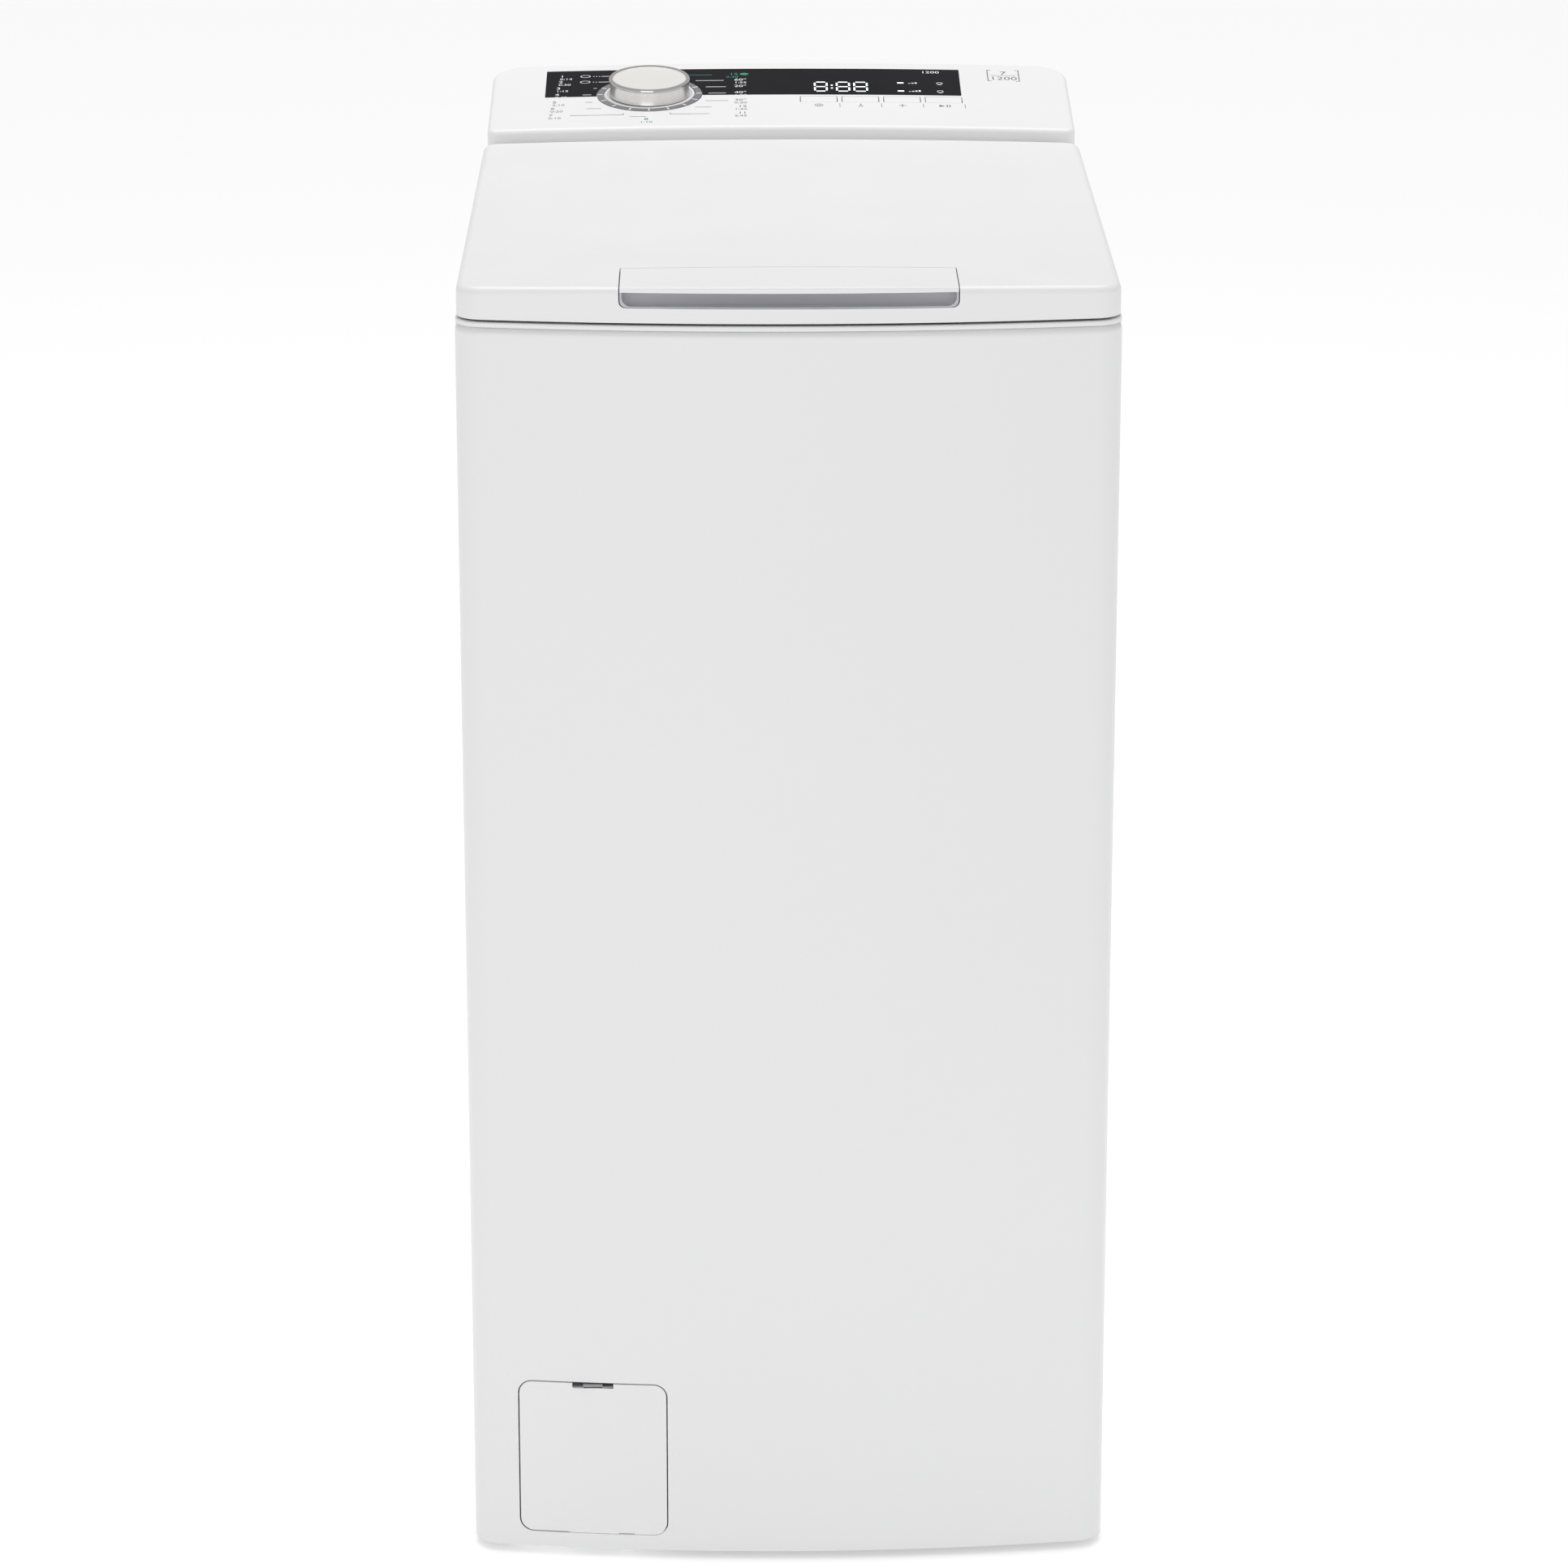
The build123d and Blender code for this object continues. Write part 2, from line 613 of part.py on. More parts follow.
def lid_handle():
    """Handle plate let into the front of the lid, its lip overhanging the finger recess."""
    with BuildPart() as handle:
        with BuildSketch(Plane.XY.offset(RECESS_Z)):
            with Locations((0, (HANDLE_REAR_Y + FRONT_Y) / 2 - 5)):
                RectangleRounded(2 * HANDLE_HALF_X, HANDLE_REAR_Y - FRONT_Y + 10, 3.6)
        extrude(amount=30)
        add(lid_form(LID_INSET, SKIRT_Z, LID_EDGE), mode=Mode.INTERSECT)
        block((-HANDLE_HALF_X + 3, HANDLE_HALF_X - 3), (FRONT_Y - 5, -262), (RECESS_Z + 1, LIP_Z), mode=Mode.SUBTRACT)
        block((-HANDLE_HALF_X + 3, HANDLE_HALF_X - 3), (-258, -244), (RECESS_Z - 1, LIP_Z), mode=Mode.SUBTRACT)
    save(handle, "lid_handle")


def dispenser_tray():
    """Detergent tray hung in rails under the lid, with four compartments."""
    with BuildPart() as tray:
        block((-TRAY_HALF_X, TRAY_HALF_X), TRAY_Y, TRAY_Z)
        fillet(tray.edges().filter_by(Axis.Z), radius=3)
        for x in ((-TRAY_HALF_X + 2, -34), (-32, 32), (34, TRAY_HALF_X - 2)):
            block(x, (TRAY_Y[0] + 2, -20), (TRAY_Z[0] + 2, 810), mode=Mode.SUBTRACT)
        block((-TRAY_HALF_X + 2, TRAY_HALF_X - 2), (-18, TRAY_Y[1] - 2), (TRAY_Z[0] + 2, 810), mode=Mode.SUBTRACT)
        for side in (-1, 1):
            flange = sorted((side * (TRAY_HALF_X - 1), side * (TRAY_HALF_X + 4)))
            block(flange, (TRAY_Y[0] + 10, TRAY_Y[1]), (794, 796))
    save(tray, "dispenser_tray")


def door_lock():
    """Lock case under the deck, with a slot for the hook and a bore for the bolt."""
    with BuildPart() as lock:
        block((LATCH_X - 14, LATCH_X + 30), (LATCH_Y - 16, LATCH_Y + 16), (774, DECK_BOTTOM))
        block((LATCH_X - 5, LATCH_X + 5), (LATCH_Y - 11, LATCH_Y + 9), (777, 810), mode=Mode.SUBTRACT)
        block((LATCH_X - 5, LATCH_X + 26), (LATCH_Y - 2.4, LATCH_Y + 2.4), (786.6, 791.4), mode=Mode.SUBTRACT)
    save(lock, "door_lock")


def lock_bolt():
    """Sliding bolt of the door lock."""
    with BuildPart() as bolt:
        block((LATCH_X + 6, LATCH_X + 24), (LATCH_Y - 2, LATCH_Y + 2), (787, 791))
        fillet(bolt.faces().sort_by(Axis.X)[0].edges(), radius=0.8)
    save(bolt, "lock_bolt")


# ------------------------------------------------------------------ filter, pump and water


def filter_door():
    """Tilting filter door that follows the bow, with a finger tab, two slots and bottom hooks."""
    middle = ((DOOR_X[0] + DOOR_X[1]) / 2, (DOOR_Z[0] + DOOR_Z[1]) / 2)
    with BuildPart() as door:
        with BuildSketch(Plane.XZ.offset(-FRONT_Y + 5)):
            with Locations(middle):
                width = DOOR_X[1] - DOOR_X[0] - 2 * DOOR_GAP
                RectangleRounded(width, DOOR_Z[1] - DOOR_Z[0] - 2 * DOOR_GAP, DOOR_CORNER - DOOR_GAP)
        extrude(amount=-50)
        add(bowed_block(0, (0, 200), SEAM_Y), mode=Mode.INTERSECT)
        add(bowed_block(2.2, (-1, 201), SEAM_Y + 10), mode=Mode.SUBTRACT)
        for x in (-133, -114.2):
            block((x - 3.2, x + 3.2), (-310, -270), (DOOR_Z[1] - 3.4, DOOR_Z[1] - 1.4), mode=Mode.SUBTRACT)
        for x in (-145, -103):
            skin_y = FRONT_Y + (x + 5) ** 2 / (2 * BOW_RADIUS) + 1.6
            block((x - 5, x + 5), (skin_y, -286.5), (DOOR_Z[0] + 1.5, DOOR_Z[0] + 9))
            block((x - 5, x + 5), (-289.5, -286.5), (8, DOOR_Z[0] + 9))
    save(door, "filter_door")


def filter_bay():
    """Moulded recess liner behind the filter door."""
    with BuildPart() as bay:
        block((-175, -73), (-282, -238), (11, 122))
        block((-173, -75), (-283, -240), (13, 120), mode=Mode.SUBTRACT)
        rod_y(FILTER_X, (-250, -230), FILTER_Z, 35.2, mode=Mode.SUBTRACT)
    save(bay, "filter_bay")


SUMP_Y = -185.0


def filter_housing():
    """Filter chamber with its sump inlet on top."""
    with BuildPart() as housing:
        rod_y(FILTER_X, (-244, -150), FILTER_Z, 35)
        rod_z(FILTER_X, SUMP_Y, (FILTER_Z, 112), 16)
        rod_y(FILTER_X, (-250, -154), FILTER_Z, 30, mode=Mode.SUBTRACT)
        rod_y(FILTER_X, (-156, -140), FILTER_Z, 12, mode=Mode.SUBTRACT)
        rod_z(FILTER_X, SUMP_Y, (FILTER_Z, 120), 13, mode=Mode.SUBTRACT)
    save(housing, "filter_housing")


def filter_plug():
    """Screw-in filter plug with its grip and lint basket."""
    with BuildPart() as plug:
        rod_y(FILTER_X, (-255, -245), FILTER_Z, 33)
        rod_y(FILTER_X, (-245, -172), FILTER_Z, 28)
        rod_y(FILTER_X, (-240, -160), FILTER_Z, 25.5, mode=Mode.SUBTRACT)
        block((FILTER_X - 4, FILTER_X + 4), (-269, -255), (FILTER_Z - 24, FILTER_Z + 24))
        for y in (-228, -212, -196):
            block((FILTER_X - 15, FILTER_X + 15), (y - 4, y + 4), (0, 130), mode=Mode.SUBTRACT)
            block((FILTER_X - 60, FILTER_X + 60), (y - 4, y + 4), (FILTER_Z - 15, FILTER_Z + 15), mode=Mode.SUBTRACT)
    save(plug, "filter_plug")


def drain_pump():
    """Drain pump: volute with its outlet and the motor can behind."""
    with BuildPart() as pump:
        rod_y(FILTER_X, (-150, -118), FILTER_Z, 36)
        rod_y(FILTER_X, (-118, -70), FILTER_Z, 28)
        rod_z(-150, -134, (FILTER_Z, 112), 11)
        rod_y(FILTER_X, (-147, -121), FILTER_Z, 31, mode=Mode.SUBTRACT)
        rod_y(FILTER_X, (-160, -140), FILTER_Z, 12, mode=Mode.SUBTRACT)
        rod_z(-150, -134, (FILTER_Z + 10, 120), 7, mode=Mode.SUBTRACT)
        rod_y(FILTER_X, (-122, -80), FILTER_Z, 3 + RUNNING_FIT, mode=Mode.SUBTRACT)
    save(pump, "drain_pump")


def pump_impeller():
    """Four-vane pump impeller on its shaft."""
    with BuildPart() as impeller:
        rod_y(FILTER_X, (-140, -123), FILTER_Z, 7)
        rod_y(FILTER_X, (-123, -85), FILTER_Z, 3)
        block((FILTER_X - 24, FILTER_X + 24), (-139, -125), (FILTER_Z - 1.2, FILTER_Z + 1.2))
        block((FILTER_X - 1.2, FILTER_X + 1.2), (-139, -125), (FILTER_Z - 24, FILTER_Z + 24))
    save(impeller, "pump_impeller")


def hose(path, outer, bore):
    """Hose along straight runs joined by tangent arcs."""
    with BuildPart() as tube:
        with BuildLine() as route:
            add(path)
        with BuildSketch(Plane(origin=route.line @ 0, z_dir=route.line % 0)):
            Circle(outer)
            Circle(bore, mode=Mode.SUBTRACT)
        sweep()
    return tube


def drain_hose():
    """Drain hose from the pump up the rear left corner to the outlet."""
    with BuildLine() as path:
        FilletPolyline(
            (-150, -134, 112), (-150, -134, 150), (-150, 245, 150), (-150, 245, OUTLET[1]), (-150, 271, OUTLET[1]),
            radius=22,
        )
    save(hose(path.line, 10, 7), "drain_hose")


def drain_outlet():
    """Outlet spigot in the rear panel."""
    with BuildPart() as spigot:
        rod_y(OUTLET[0], (271, REAR_Y + 1), OUTLET[1], 10.4)
        rod_y(OUTLET[0], (REAR_Y + 1, DEPTH / 2), OUTLET[1], 11)
        rod_y(OUTLET[0], (278, REAR_Y - SHEET), OUTLET[1], 17)
        rod_y(OUTLET[0], (260, 310), OUTLET[1], 8, mode=Mode.SUBTRACT)
    save(spigot, "drain_outlet")


def inlet_valve():
    """Water inlet valve with its threaded inlet, coil and outlet stub."""
    with BuildPart() as valve:
        block((INLET[0] - 18, INLET[0] + 18), (246, REAR_Y - SHEET), (INLET[1] - 18, INLET[1] + 18))
        rod_y(INLET[0], (REAR_Y - SHEET, DEPTH / 2), INLET[1], 13.2)
        rod_y(INLET[0], (270, 310), INLET[1], 8.5, mode=Mode.SUBTRACT)
        block((INLET[0] - 12, INLET[0] + 12), (250, 276), (INLET[1] - 48, INLET[1] - 18))
        rod_y(INLET[0], (232, 246), INLET[1], 7)
    save(valve, "inlet_valve")


def inlet_hose():
    """Hose from the inlet valve to the nozzle at the rear of the well."""
    with BuildLine() as path:
        FilletPolyline((150, 232, INLET[1]), (150, 190, INLET[1]), (40, 190, INLET[1]), (40, 119, 782), radius=20)
    save(hose(path.line, 7, 5), "inlet_hose")


def cable_gland():
    """Strain-relief gland in the rear panel."""
    with BuildPart() as gland:
        rod_y(GLAND[0], (270, 293), GLAND[1], 6.9)
        rod_y(GLAND[0], (REAR_Y, 288), GLAND[1], 10)
        rod_y(GLAND[0], (274, REAR_Y - SHEET), GLAND[1], 10)
        rod_y(GLAND[0], (276, 300), GLAND[1], 3.6, mode=Mode.SUBTRACT)
    save(gland, "cable_gland")


def sump_hose():
    """Corrugated sump hose between the tub and the filter chamber."""
    with BuildPart() as bellow:
        rod_z(FILTER_X, SUMP_Y, (112, 212), 16)
        for ring in range(6):
            rod_z(FILTER_X, SUMP_Y, (122 + 14 * ring, 130 + 14 * ring), 19)
        rod_z(FILTER_X, SUMP_Y, (100, 220), 13, mode=Mode.SUBTRACT)
    save(bellow, "sump_hose")


def door_bellows():
    """Folded rubber bellows between the tub neck and the well."""
    inner_x = (-NECK_HALF_X + 1, NECK_HALF_X - 1)
    inner_y = (AXIS_Y - NECK_HALF_Y + 1, AXIS_Y + NECK_HALF_Y - 1)
    folds = 4
    step = (WELL_BOTTOM - NECK_TOP) / folds
    with BuildPart() as bellows:
        for fold in range(folds):
            z = NECK_TOP + fold * step
            rounded_ring(inner_x, inner_y, (z, z + step), 3, 12)
            rounded_ring(inner_x, inner_y, (z + step / 2 - 3, z + step / 2 + 3), 13, 12)
        rounded_ring(inner_x, inner_y, (WELL_BOTTOM - 4, WELL_BOTTOM), 14, 12)
    save(bellows, "door_bellows")


def suspension_springs():
    """Two coil springs that carry the tub."""
    turns = 12
    wire = 1.6
    height = SPRING_TOP - SPRING_BOTTOM - 2 * wire - 1
    with BuildPart() as springs:
        for side in (-1, 1):
            start = (side * SPRING_X, AXIS_Y, SPRING_BOTTOM + wire + 0.5)
            with BuildLine() as coil:
                Helix(pitch=height / turns, height=height, radius=8, center=start)
            with BuildSketch(Plane(origin=coil.line @ 0, z_dir=coil.line % 0)):
                Circle(wire)
            sweep(path=coil.line, is_frenet=True)
    save(springs, "suspension_springs")


def damper_cylinders():
    """Friction damper cylinders standing on the base."""
    with BuildPart() as cylinders:
        for x, y in DAMPERS:
            rod_z(x, y, (44, 150), 15)
            rod_z(x, y, (50, 160), 12.5, mode=Mode.SUBTRACT)
    save(cylinders, "damper_cylinders")


def damper_rods():
    """Damper rods under the tub, each with its piston."""
    with BuildPart() as rods:
        for x, y in DAMPERS:
            rod_z(x, y, (76, 210), 5)
            rod_z(x, y, (76, 98), 12)
        rod_x((-200, 200), AXIS_Y, AXIS_Z, TUB_OUTER, mode=Mode.SUBTRACT)
    save(rods, "damper_rods")


# ------------------------------------------------------------------ tub


BOLT_CIRCLE = 241.0
BOLT_ANGLES = [60 + 24 * n for n in range(11)]


def axis_point(radius, angle):
    """Y and Z at a radius from the drum axis, the angle counted from the top towards the rear."""
    turn = math.radians(angle)
    return AXIS_Y + radius * math.sin(turn), AXIS_Z + radius * math.cos(turn)


def whole_tub():
    """Tub before it is parted: shell, end walls, ribs, neck, bosses, spring lugs and sump spigot."""
    rear_wall = (-TUB_HALF_X, TUB_HALF_X)
    with BuildPart() as tub:
        rod_x(rear_wall, AXIS_Y, AXIS_Z, TUB_OUTER)
        rod_x((-6, 6), AXIS_Y, AXIS_Z, TUB_OUTER + 10)
        neck_y = (AXIS_Y - NECK_HALF_Y, AXIS_Y + NECK_HALF_Y)
        rounded_block(
            (-NECK_HALF_X - 4, NECK_HALF_X + 4), (neck_y[0] - 4, neck_y[1] + 4), (560, NECK_TOP), 14
        )
        rounded_block(
            (-NECK_HALF_X - 8, NECK_HALF_X + 8), (neck_y[0] - 8, neck_y[1] + 8), (NECK_TOP - 6, NECK_TOP), 18
        )
        rod_z(FILTER_X, SUMP_Y, (212, 270), 16)
        for side in (-1, 1):
            end = sorted((side * TUB_HALF_X, side * (TUB_HALF_X + 4)))
            rod_x(end, AXIS_Y, AXIS_Z, 38)
            for angle in range(15, 375, 30):
                y, z = axis_point(130, angle)
                with Locations(Location((side * (TUB_HALF_X + 2), y, z), (-angle, 0, 0))):
                    Box(4, 5, 200)
            lug = sorted((side * (TUB_HALF_X - 1), side * (TUB_HALF_X + 20)))
            block(lug, (AXIS_Y - 12, AXIS_Y + 12), (SPRING_BOTTOM - 12, SPRING_BOTTOM))
        rod_x((-TUB_HALF_X + TUB_WALL, TUB_HALF_X - TUB_WALL), AXIS_Y, AXIS_Z, TUB_INNER, mode=Mode.SUBTRACT)
        rounded_block((-NECK_HALF_X, NECK_HALF_X), neck_y, (540, NECK_TOP + 5), 10, mode=Mode.SUBTRACT)
        rod_z(FILTER_X, SUMP_Y, (200, 280), 13, mode=Mode.SUBTRACT)
        rod_x((-TUB_HALF_X - 4, TUB_HALF_X + 10), AXIS_Y, AXIS_Z, 26, mode=Mode.SUBTRACT)
        for angle in BOLT_ANGLES:
            y, z = axis_point(BOLT_CIRCLE, angle)
            rod_x((-8, 8), y, z, 2.5, mode=Mode.SUBTRACT)
        for y in (AXIS_Y - 25, AXIS_Y + 25):
            rod_x((150, 180), y, AXIS_Z - 224.6, 3.4, mode=Mode.SUBTRACT)
    return tub.part


GASKET = 1.0


def tub_pieces():
    """Left and right tub halves, and the gasket clamped between their flanges."""
    tub = whole_tub()
    with BuildPart() as left:
        add(tub)
        split(bisect_by=Plane.YZ.offset(-GASKET), keep=Keep.BOTTOM)
    save(left, "tub_left_half")
    with BuildPart() as right:
        add(tub)
        split(bisect_by=Plane.YZ.offset(GASKET), keep=Keep.TOP)
    save(right, "tub_right_half")
    with BuildPart() as gasket:
        add(tub)
        block((-GASKET, GASKET), (-400, 400), (0, 900), mode=Mode.INTERSECT)
    save(gasket, "tub_gasket")


def tub_screws():
    """Screws through the tub flanges."""
    with BuildPart() as screws:
        for angle in BOLT_ANGLES:
            y, z = axis_point(BOLT_CIRCLE, angle)
            rod_x((-6, 6), y, z, 2.5)
            rod_x((6, 10), y, z, 4.5)
    save(screws, "tub_screws")


def bearings():
    """Two shaft bearings, one in each tub boss."""
    with BuildPart() as rings:
        for side in (-1, 1):
            span = sorted((side * (TUB_HALF_X - 3), side * (TUB_HALF_X + 4)))
            rod_x(span, AXIS_Y, AXIS_Z, 26)
        rod_x((-200, 200), AXIS_Y, AXIS_Z, SHAFT_RADIUS + RUNNING_FIT, mode=Mode.SUBTRACT)
    save(rings, "bearings")


def shaft_seals():
    """Rubber lip seals inside the bearings."""
    with BuildPart() as seals:
        for side in (-1, 1):
            span = sorted((side * (TUB_HALF_X - TUB_WALL), side * (TUB_HALF_X - 3)))
            rod_x(span, AXIS_Y, AXIS_Z, 26)
        rod_x((-200, 200), AXIS_Y, AXIS_Z, SHAFT_RADIUS + 0.1, mode=Mode.SUBTRACT)
    save(seals, "shaft_seals")


def arc_block(x, radii, angles):
    """Curved block round the drum axis, between two X, two radii and two angles from the top."""
    y0, z0 = axis_point(radii[0], angles[0])
    y1, z1 = axis_point(radii[0], sum(angles) / 2)
    y2, z2 = axis_point(radii[0], angles[1])
    y3, z3 = axis_point(radii[1], angles[1])
    y4, z4 = axis_point(radii[1], sum(angles) / 2)
    y5, z5 = axis_point(radii[1], angles[0])
    with BuildPart() as curved:
        with BuildSketch(Plane.YZ.offset(x[0])):
            with BuildLine():
                ThreePointArc((y0, z0), (y1, z1), (y2, z2))
                Line((y2, z2), (y3, z3))
                ThreePointArc((y3, z3), (y4, z4), (y5, z5))
                Line((y5, z5), (y0, z0))
            make_face()
        extrude(amount=x[1] - x[0])
    return curved.part


def counterweights():
    """Four concrete blocks strapped round the tub."""
    with BuildPart() as weights:
        for angles, outer in (((195, 235), 272), ((65, 108), 275)):
            for x in ((-98, -8), (11, 125)):
                add(arc_block(x, (TUB_OUTER, outer), angles))
    save(weights, "counterweights")


def heater():
    """Tubular heating element in the bottom of the tub."""
    z = AXIS_Z - 224.6
    with BuildPart() as element:
        with BuildLine() as path:
            FilletPolyline(
                (174, AXIS_Y - 25, z), (-110, AXIS_Y - 25, z), (-110, AXIS_Y + 25, z), (174, AXIS_Y + 25, z),
                radius=18,
            )
        with BuildSketch(Plane(origin=path.line @ 0, z_dir=path.line % 0)):
            Circle(3.2)
        sweep()
        block((TUB_HALF_X, TUB_HALF_X + 3), (AXIS_Y - 36, AXIS_Y + 36), (z - 9, z + 9))
    save(element, "heater")


def motor_housing():
    """Motor case with its end caps and two brackets up to the tub."""
    tilt = math.degrees(math.atan2(MOTOR_Y - AXIS_Y, AXIS_Z - MOTOR_Z))
    y, z = axis_point(TUB_OUTER + 14, 180 - tilt)
    with BuildPart() as motor:
        rod_x((-55, 115), MOTOR_Y, MOTOR_Z, 58)
        for x in (-40, 100):
            with Locations(Location((x, y, z), (tilt, 0, 0))):
                Box(6, 70, 50)
        rod_x((-200, 200), AXIS_Y, AXIS_Z, TUB_OUTER, mode=Mode.SUBTRACT)
        rod_x((-50, 110), MOTOR_Y, MOTOR_Z, 53, mode=Mode.SUBTRACT)
        rod_x((-60, 120), MOTOR_Y, MOTOR_Z, 8 + RUNNING_FIT, mode=Mode.SUBTRACT)
    save(motor, "motor_housing")


def motor_rotor():
    """Motor rotor with its shaft and belt pulley."""
    with BuildPart() as rotor:
        rod_x((-54, 186), MOTOR_Y, MOTOR_Z, 8)
        rod_x((-40, 95), MOTOR_Y, MOTOR_Z, 46)
        rod_x((BELT_X[0] - 1, BELT_X[1] + 1), MOTOR_Y, MOTOR_Z, MOTOR_PULLEY_RADIUS)
    save(rotor, "motor_rotor")


def belt_outline(extra):
    """Outline that wraps both pulleys, grown by an extra distance."""
    with BuildSketch() as outline:
        with Locations((AXIS_Y, AXIS_Z)):
            Circle(PULLEY_RADIUS + extra)
        with Locations((MOTOR_Y, MOTOR_Z)):
            Circle(MOTOR_PULLEY_RADIUS + extra)
        make_hull()
    return outline.sketch


def drive_belt():
    """Flat ribbed belt round both pulleys."""
    with BuildPart() as belt:
        with BuildSketch(Plane.YZ.offset(BELT_X[0])):
            add(belt_outline(0.3 + BELT_THICK))
            add(belt_outline(0.3), mode=Mode.SUBTRACT)
        extrude(amount=BELT_X[1] - BELT_X[0])
    save(belt, "drive_belt")


# ------------------------------------------------------------------ drum


def drum_shell():
    """Drum mantle with its mouth, the lugs that hold the flap pins, and rolled edges."""
    inner = DRUM_OUTER - DRUM_SHEET
    with BuildPart() as shell:
        rod_x((-DRUM_HALF_X, DRUM_HALF_X), AXIS_Y, AXIS_Z, DRUM_OUTER)
        rod_x((-DRUM_HALF_X, DRUM_HALF_X), AXIS_Y, AXIS_Z, inner, mode=Mode.SUBTRACT)
        mouth = arc_block((-MOUTH_HALF_X, MOUTH_HALF_X), (150, 240), (-MOUTH_ANGLE, MOUTH_ANGLE))
        add(mouth, mode=Mode.SUBTRACT)
        for side in (-1, 1):
            for x in ((-MOUTH_HALF_X - 2, -MOUTH_HALF_X + 6), (MOUTH_HALF_X - 6, MOUTH_HALF_X + 2)):
                lug = sorted((side * (FLAP_ANGLE - 1), side * (MOUTH_ANGLE + 1)))
                add(arc_block(x, (213, 219.6), lug))
            y, z = axis_point(FLAP_PIN_R, side * FLAP_ANGLE)
            rod_x((-MOUTH_HALF_X - 5, MOUTH_HALF_X + 5), y, z, FLAP_PIN_RADIUS, mode=Mode.SUBTRACT)
    save(shell, "drum_shell")


def drum_ends():
    """Two pressed end plates with their hubs and shafts."""
    with BuildPart() as ends:
        for side in (-1, 1):
            plate = sorted((side * (DRUM_HALF_X - 2), side * DRUM_HALF_X))
            rod_x(plate, AXIS_Y, AXIS_Z, DRUM_OUTER - DRUM_SHEET)
            rod_x(sorted((side * DRUM_HALF_X, side * (DRUM_HALF_X + 8))), AXIS_Y, AXIS_Z, 60)
            reach = 188 if side > 0 else 171
            rod_x(sorted((side * DRUM_HALF_X, side * reach)), AXIS_Y, AXIS_Z, SHAFT_RADIUS)
        hub = ends.edges().filter_by(GeomType.CIRCLE).filter_by(lambda e: abs(e.radius - 60) < 0.1)
        fillet(hub.sort_by(Axis.X)[0], radius=5)
        fillet(hub.sort_by(Axis.X)[-1], radius=5)
    save(ends, "drum_ends")


def drum_paddles():
    """Three hollow lifters fixed inside the mantle."""
    base = DRUM_OUTER - DRUM_SHEET
    with BuildPart() as paddles:
        for angle in (100, 180, 260):
            with BuildSketch(Plane.YZ.offset(-125)) as profile:
                foot_a = axis_point(base - 0.5, angle - 9)
                foot_b = axis_point(base - 0.5, angle + 9)
                tip_a = axis_point(base - 42, angle - 2.5)
                tip_b = axis_point(base - 42, angle + 2.5)
                Polygon(foot_a, tip_a, tip_b, foot_b, align=None)
                fillet(profile.vertices().sort_by_distance((AXIS_Y, AXIS_Z))[:2], radius=5)
            extrude(amount=250)
    save(paddles, "drum_paddles")


def drum_pulley():
    """Large belt pulley with six lightening holes."""
    with BuildPart() as pulley:
        rod_x((BELT_X[0] - 1, BELT_X[1] + 1), AXIS_Y, AXIS_Z, PULLEY_RADIUS)
        rod_x((BELT_X[0] - 2, BELT_X[0] + 3), AXIS_Y, AXIS_Z, PULLEY_RADIUS - 7, mode=Mode.SUBTRACT)
        rod_x((BELT_X[0] + 6, BELT_X[1] + 2), AXIS_Y, AXIS_Z, PULLEY_RADIUS - 7, mode=Mode.SUBTRACT)
        rod_x((BELT_X[0] - 1, BELT_X[1] + 2), AXIS_Y, AXIS_Z, 24)
        for angle in range(0, 360, 60):
            y, z = axis_point(72, angle)
            rod_x((BELT_X[0] - 2, BELT_X[1] + 2), y, z, 26, mode=Mode.SUBTRACT)
        rod_x((100, 200), AXIS_Y, AXIS_Z, SHAFT_RADIUS, mode=Mode.SUBTRACT)
    save(pulley, "drum_pulley")


def flap_hinge_pins():
    """Long pins on which the drum flaps turn."""
    with BuildPart() as pins:
        for side in (-1, 1):
            y, z = axis_point(FLAP_PIN_R, side * FLAP_ANGLE)
            rod_x((-MOUTH_HALF_X - 2, MOUTH_HALF_X + 2), y, z, FLAP_PIN_RADIUS)
    save(pins, "flap_hinge_pins")


BUTTON_ANGLE = -8.0


def drum_flap(side, label):
    """Curved drum flap rolled round its hinge pin; the front one holds the push button."""
    inner = DRUM_OUTER - DRUM_SHEET
    pin_y, pin_z = axis_point(FLAP_PIN_R, side * FLAP_ANGLE)
    with BuildPart() as flap:
        wide = sorted((side * 0.3, side * (FLAP_ANGLE - 1.7)))
        add(arc_block((-MOUTH_HALF_X + 1.5, MOUTH_HALF_X - 1.5), (inner, DRUM_OUTER), wide))
        narrow = sorted((side * (FLAP_ANGLE - 2), side * FLAP_ANGLE))
        knuckle_x = (-MOUTH_HALF_X + 7, MOUTH_HALF_X - 7)
        add(arc_block(knuckle_x, (inner, DRUM_OUTER), narrow))
        rod_x(knuckle_x, pin_y, pin_z, 3.2)
        rod_x((-200, 200), pin_y, pin_z, FLAP_PIN_RADIUS + RUNNING_FIT, mode=Mode.SUBTRACT)
        if side < 0:
            y, z = axis_point(DRUM_OUTER - 5, BUTTON_ANGLE)
            with Locations(Location((0, y, z), (-BUTTON_ANGLE, 0, 0))):
                Box(44, 30, 10 - DRUM_SHEET)
                Box(38, 24, 30, mode=Mode.SUBTRACT)
    save(flap, label)


def flap_button():
    """Push button that releases the drum flaps."""
    y, z = axis_point(DRUM_OUTER - 5, BUTTON_ANGLE)
    with BuildPart() as button:
        with Locations(Location((0, y, z), (-BUTTON_ANGLE, 0, 0))):
            Box(36.8, 22.8, 9)
        fillet(button.edges().sort_by(Axis.Z)[-4:], radius=1)
    save(button, "flap_button")


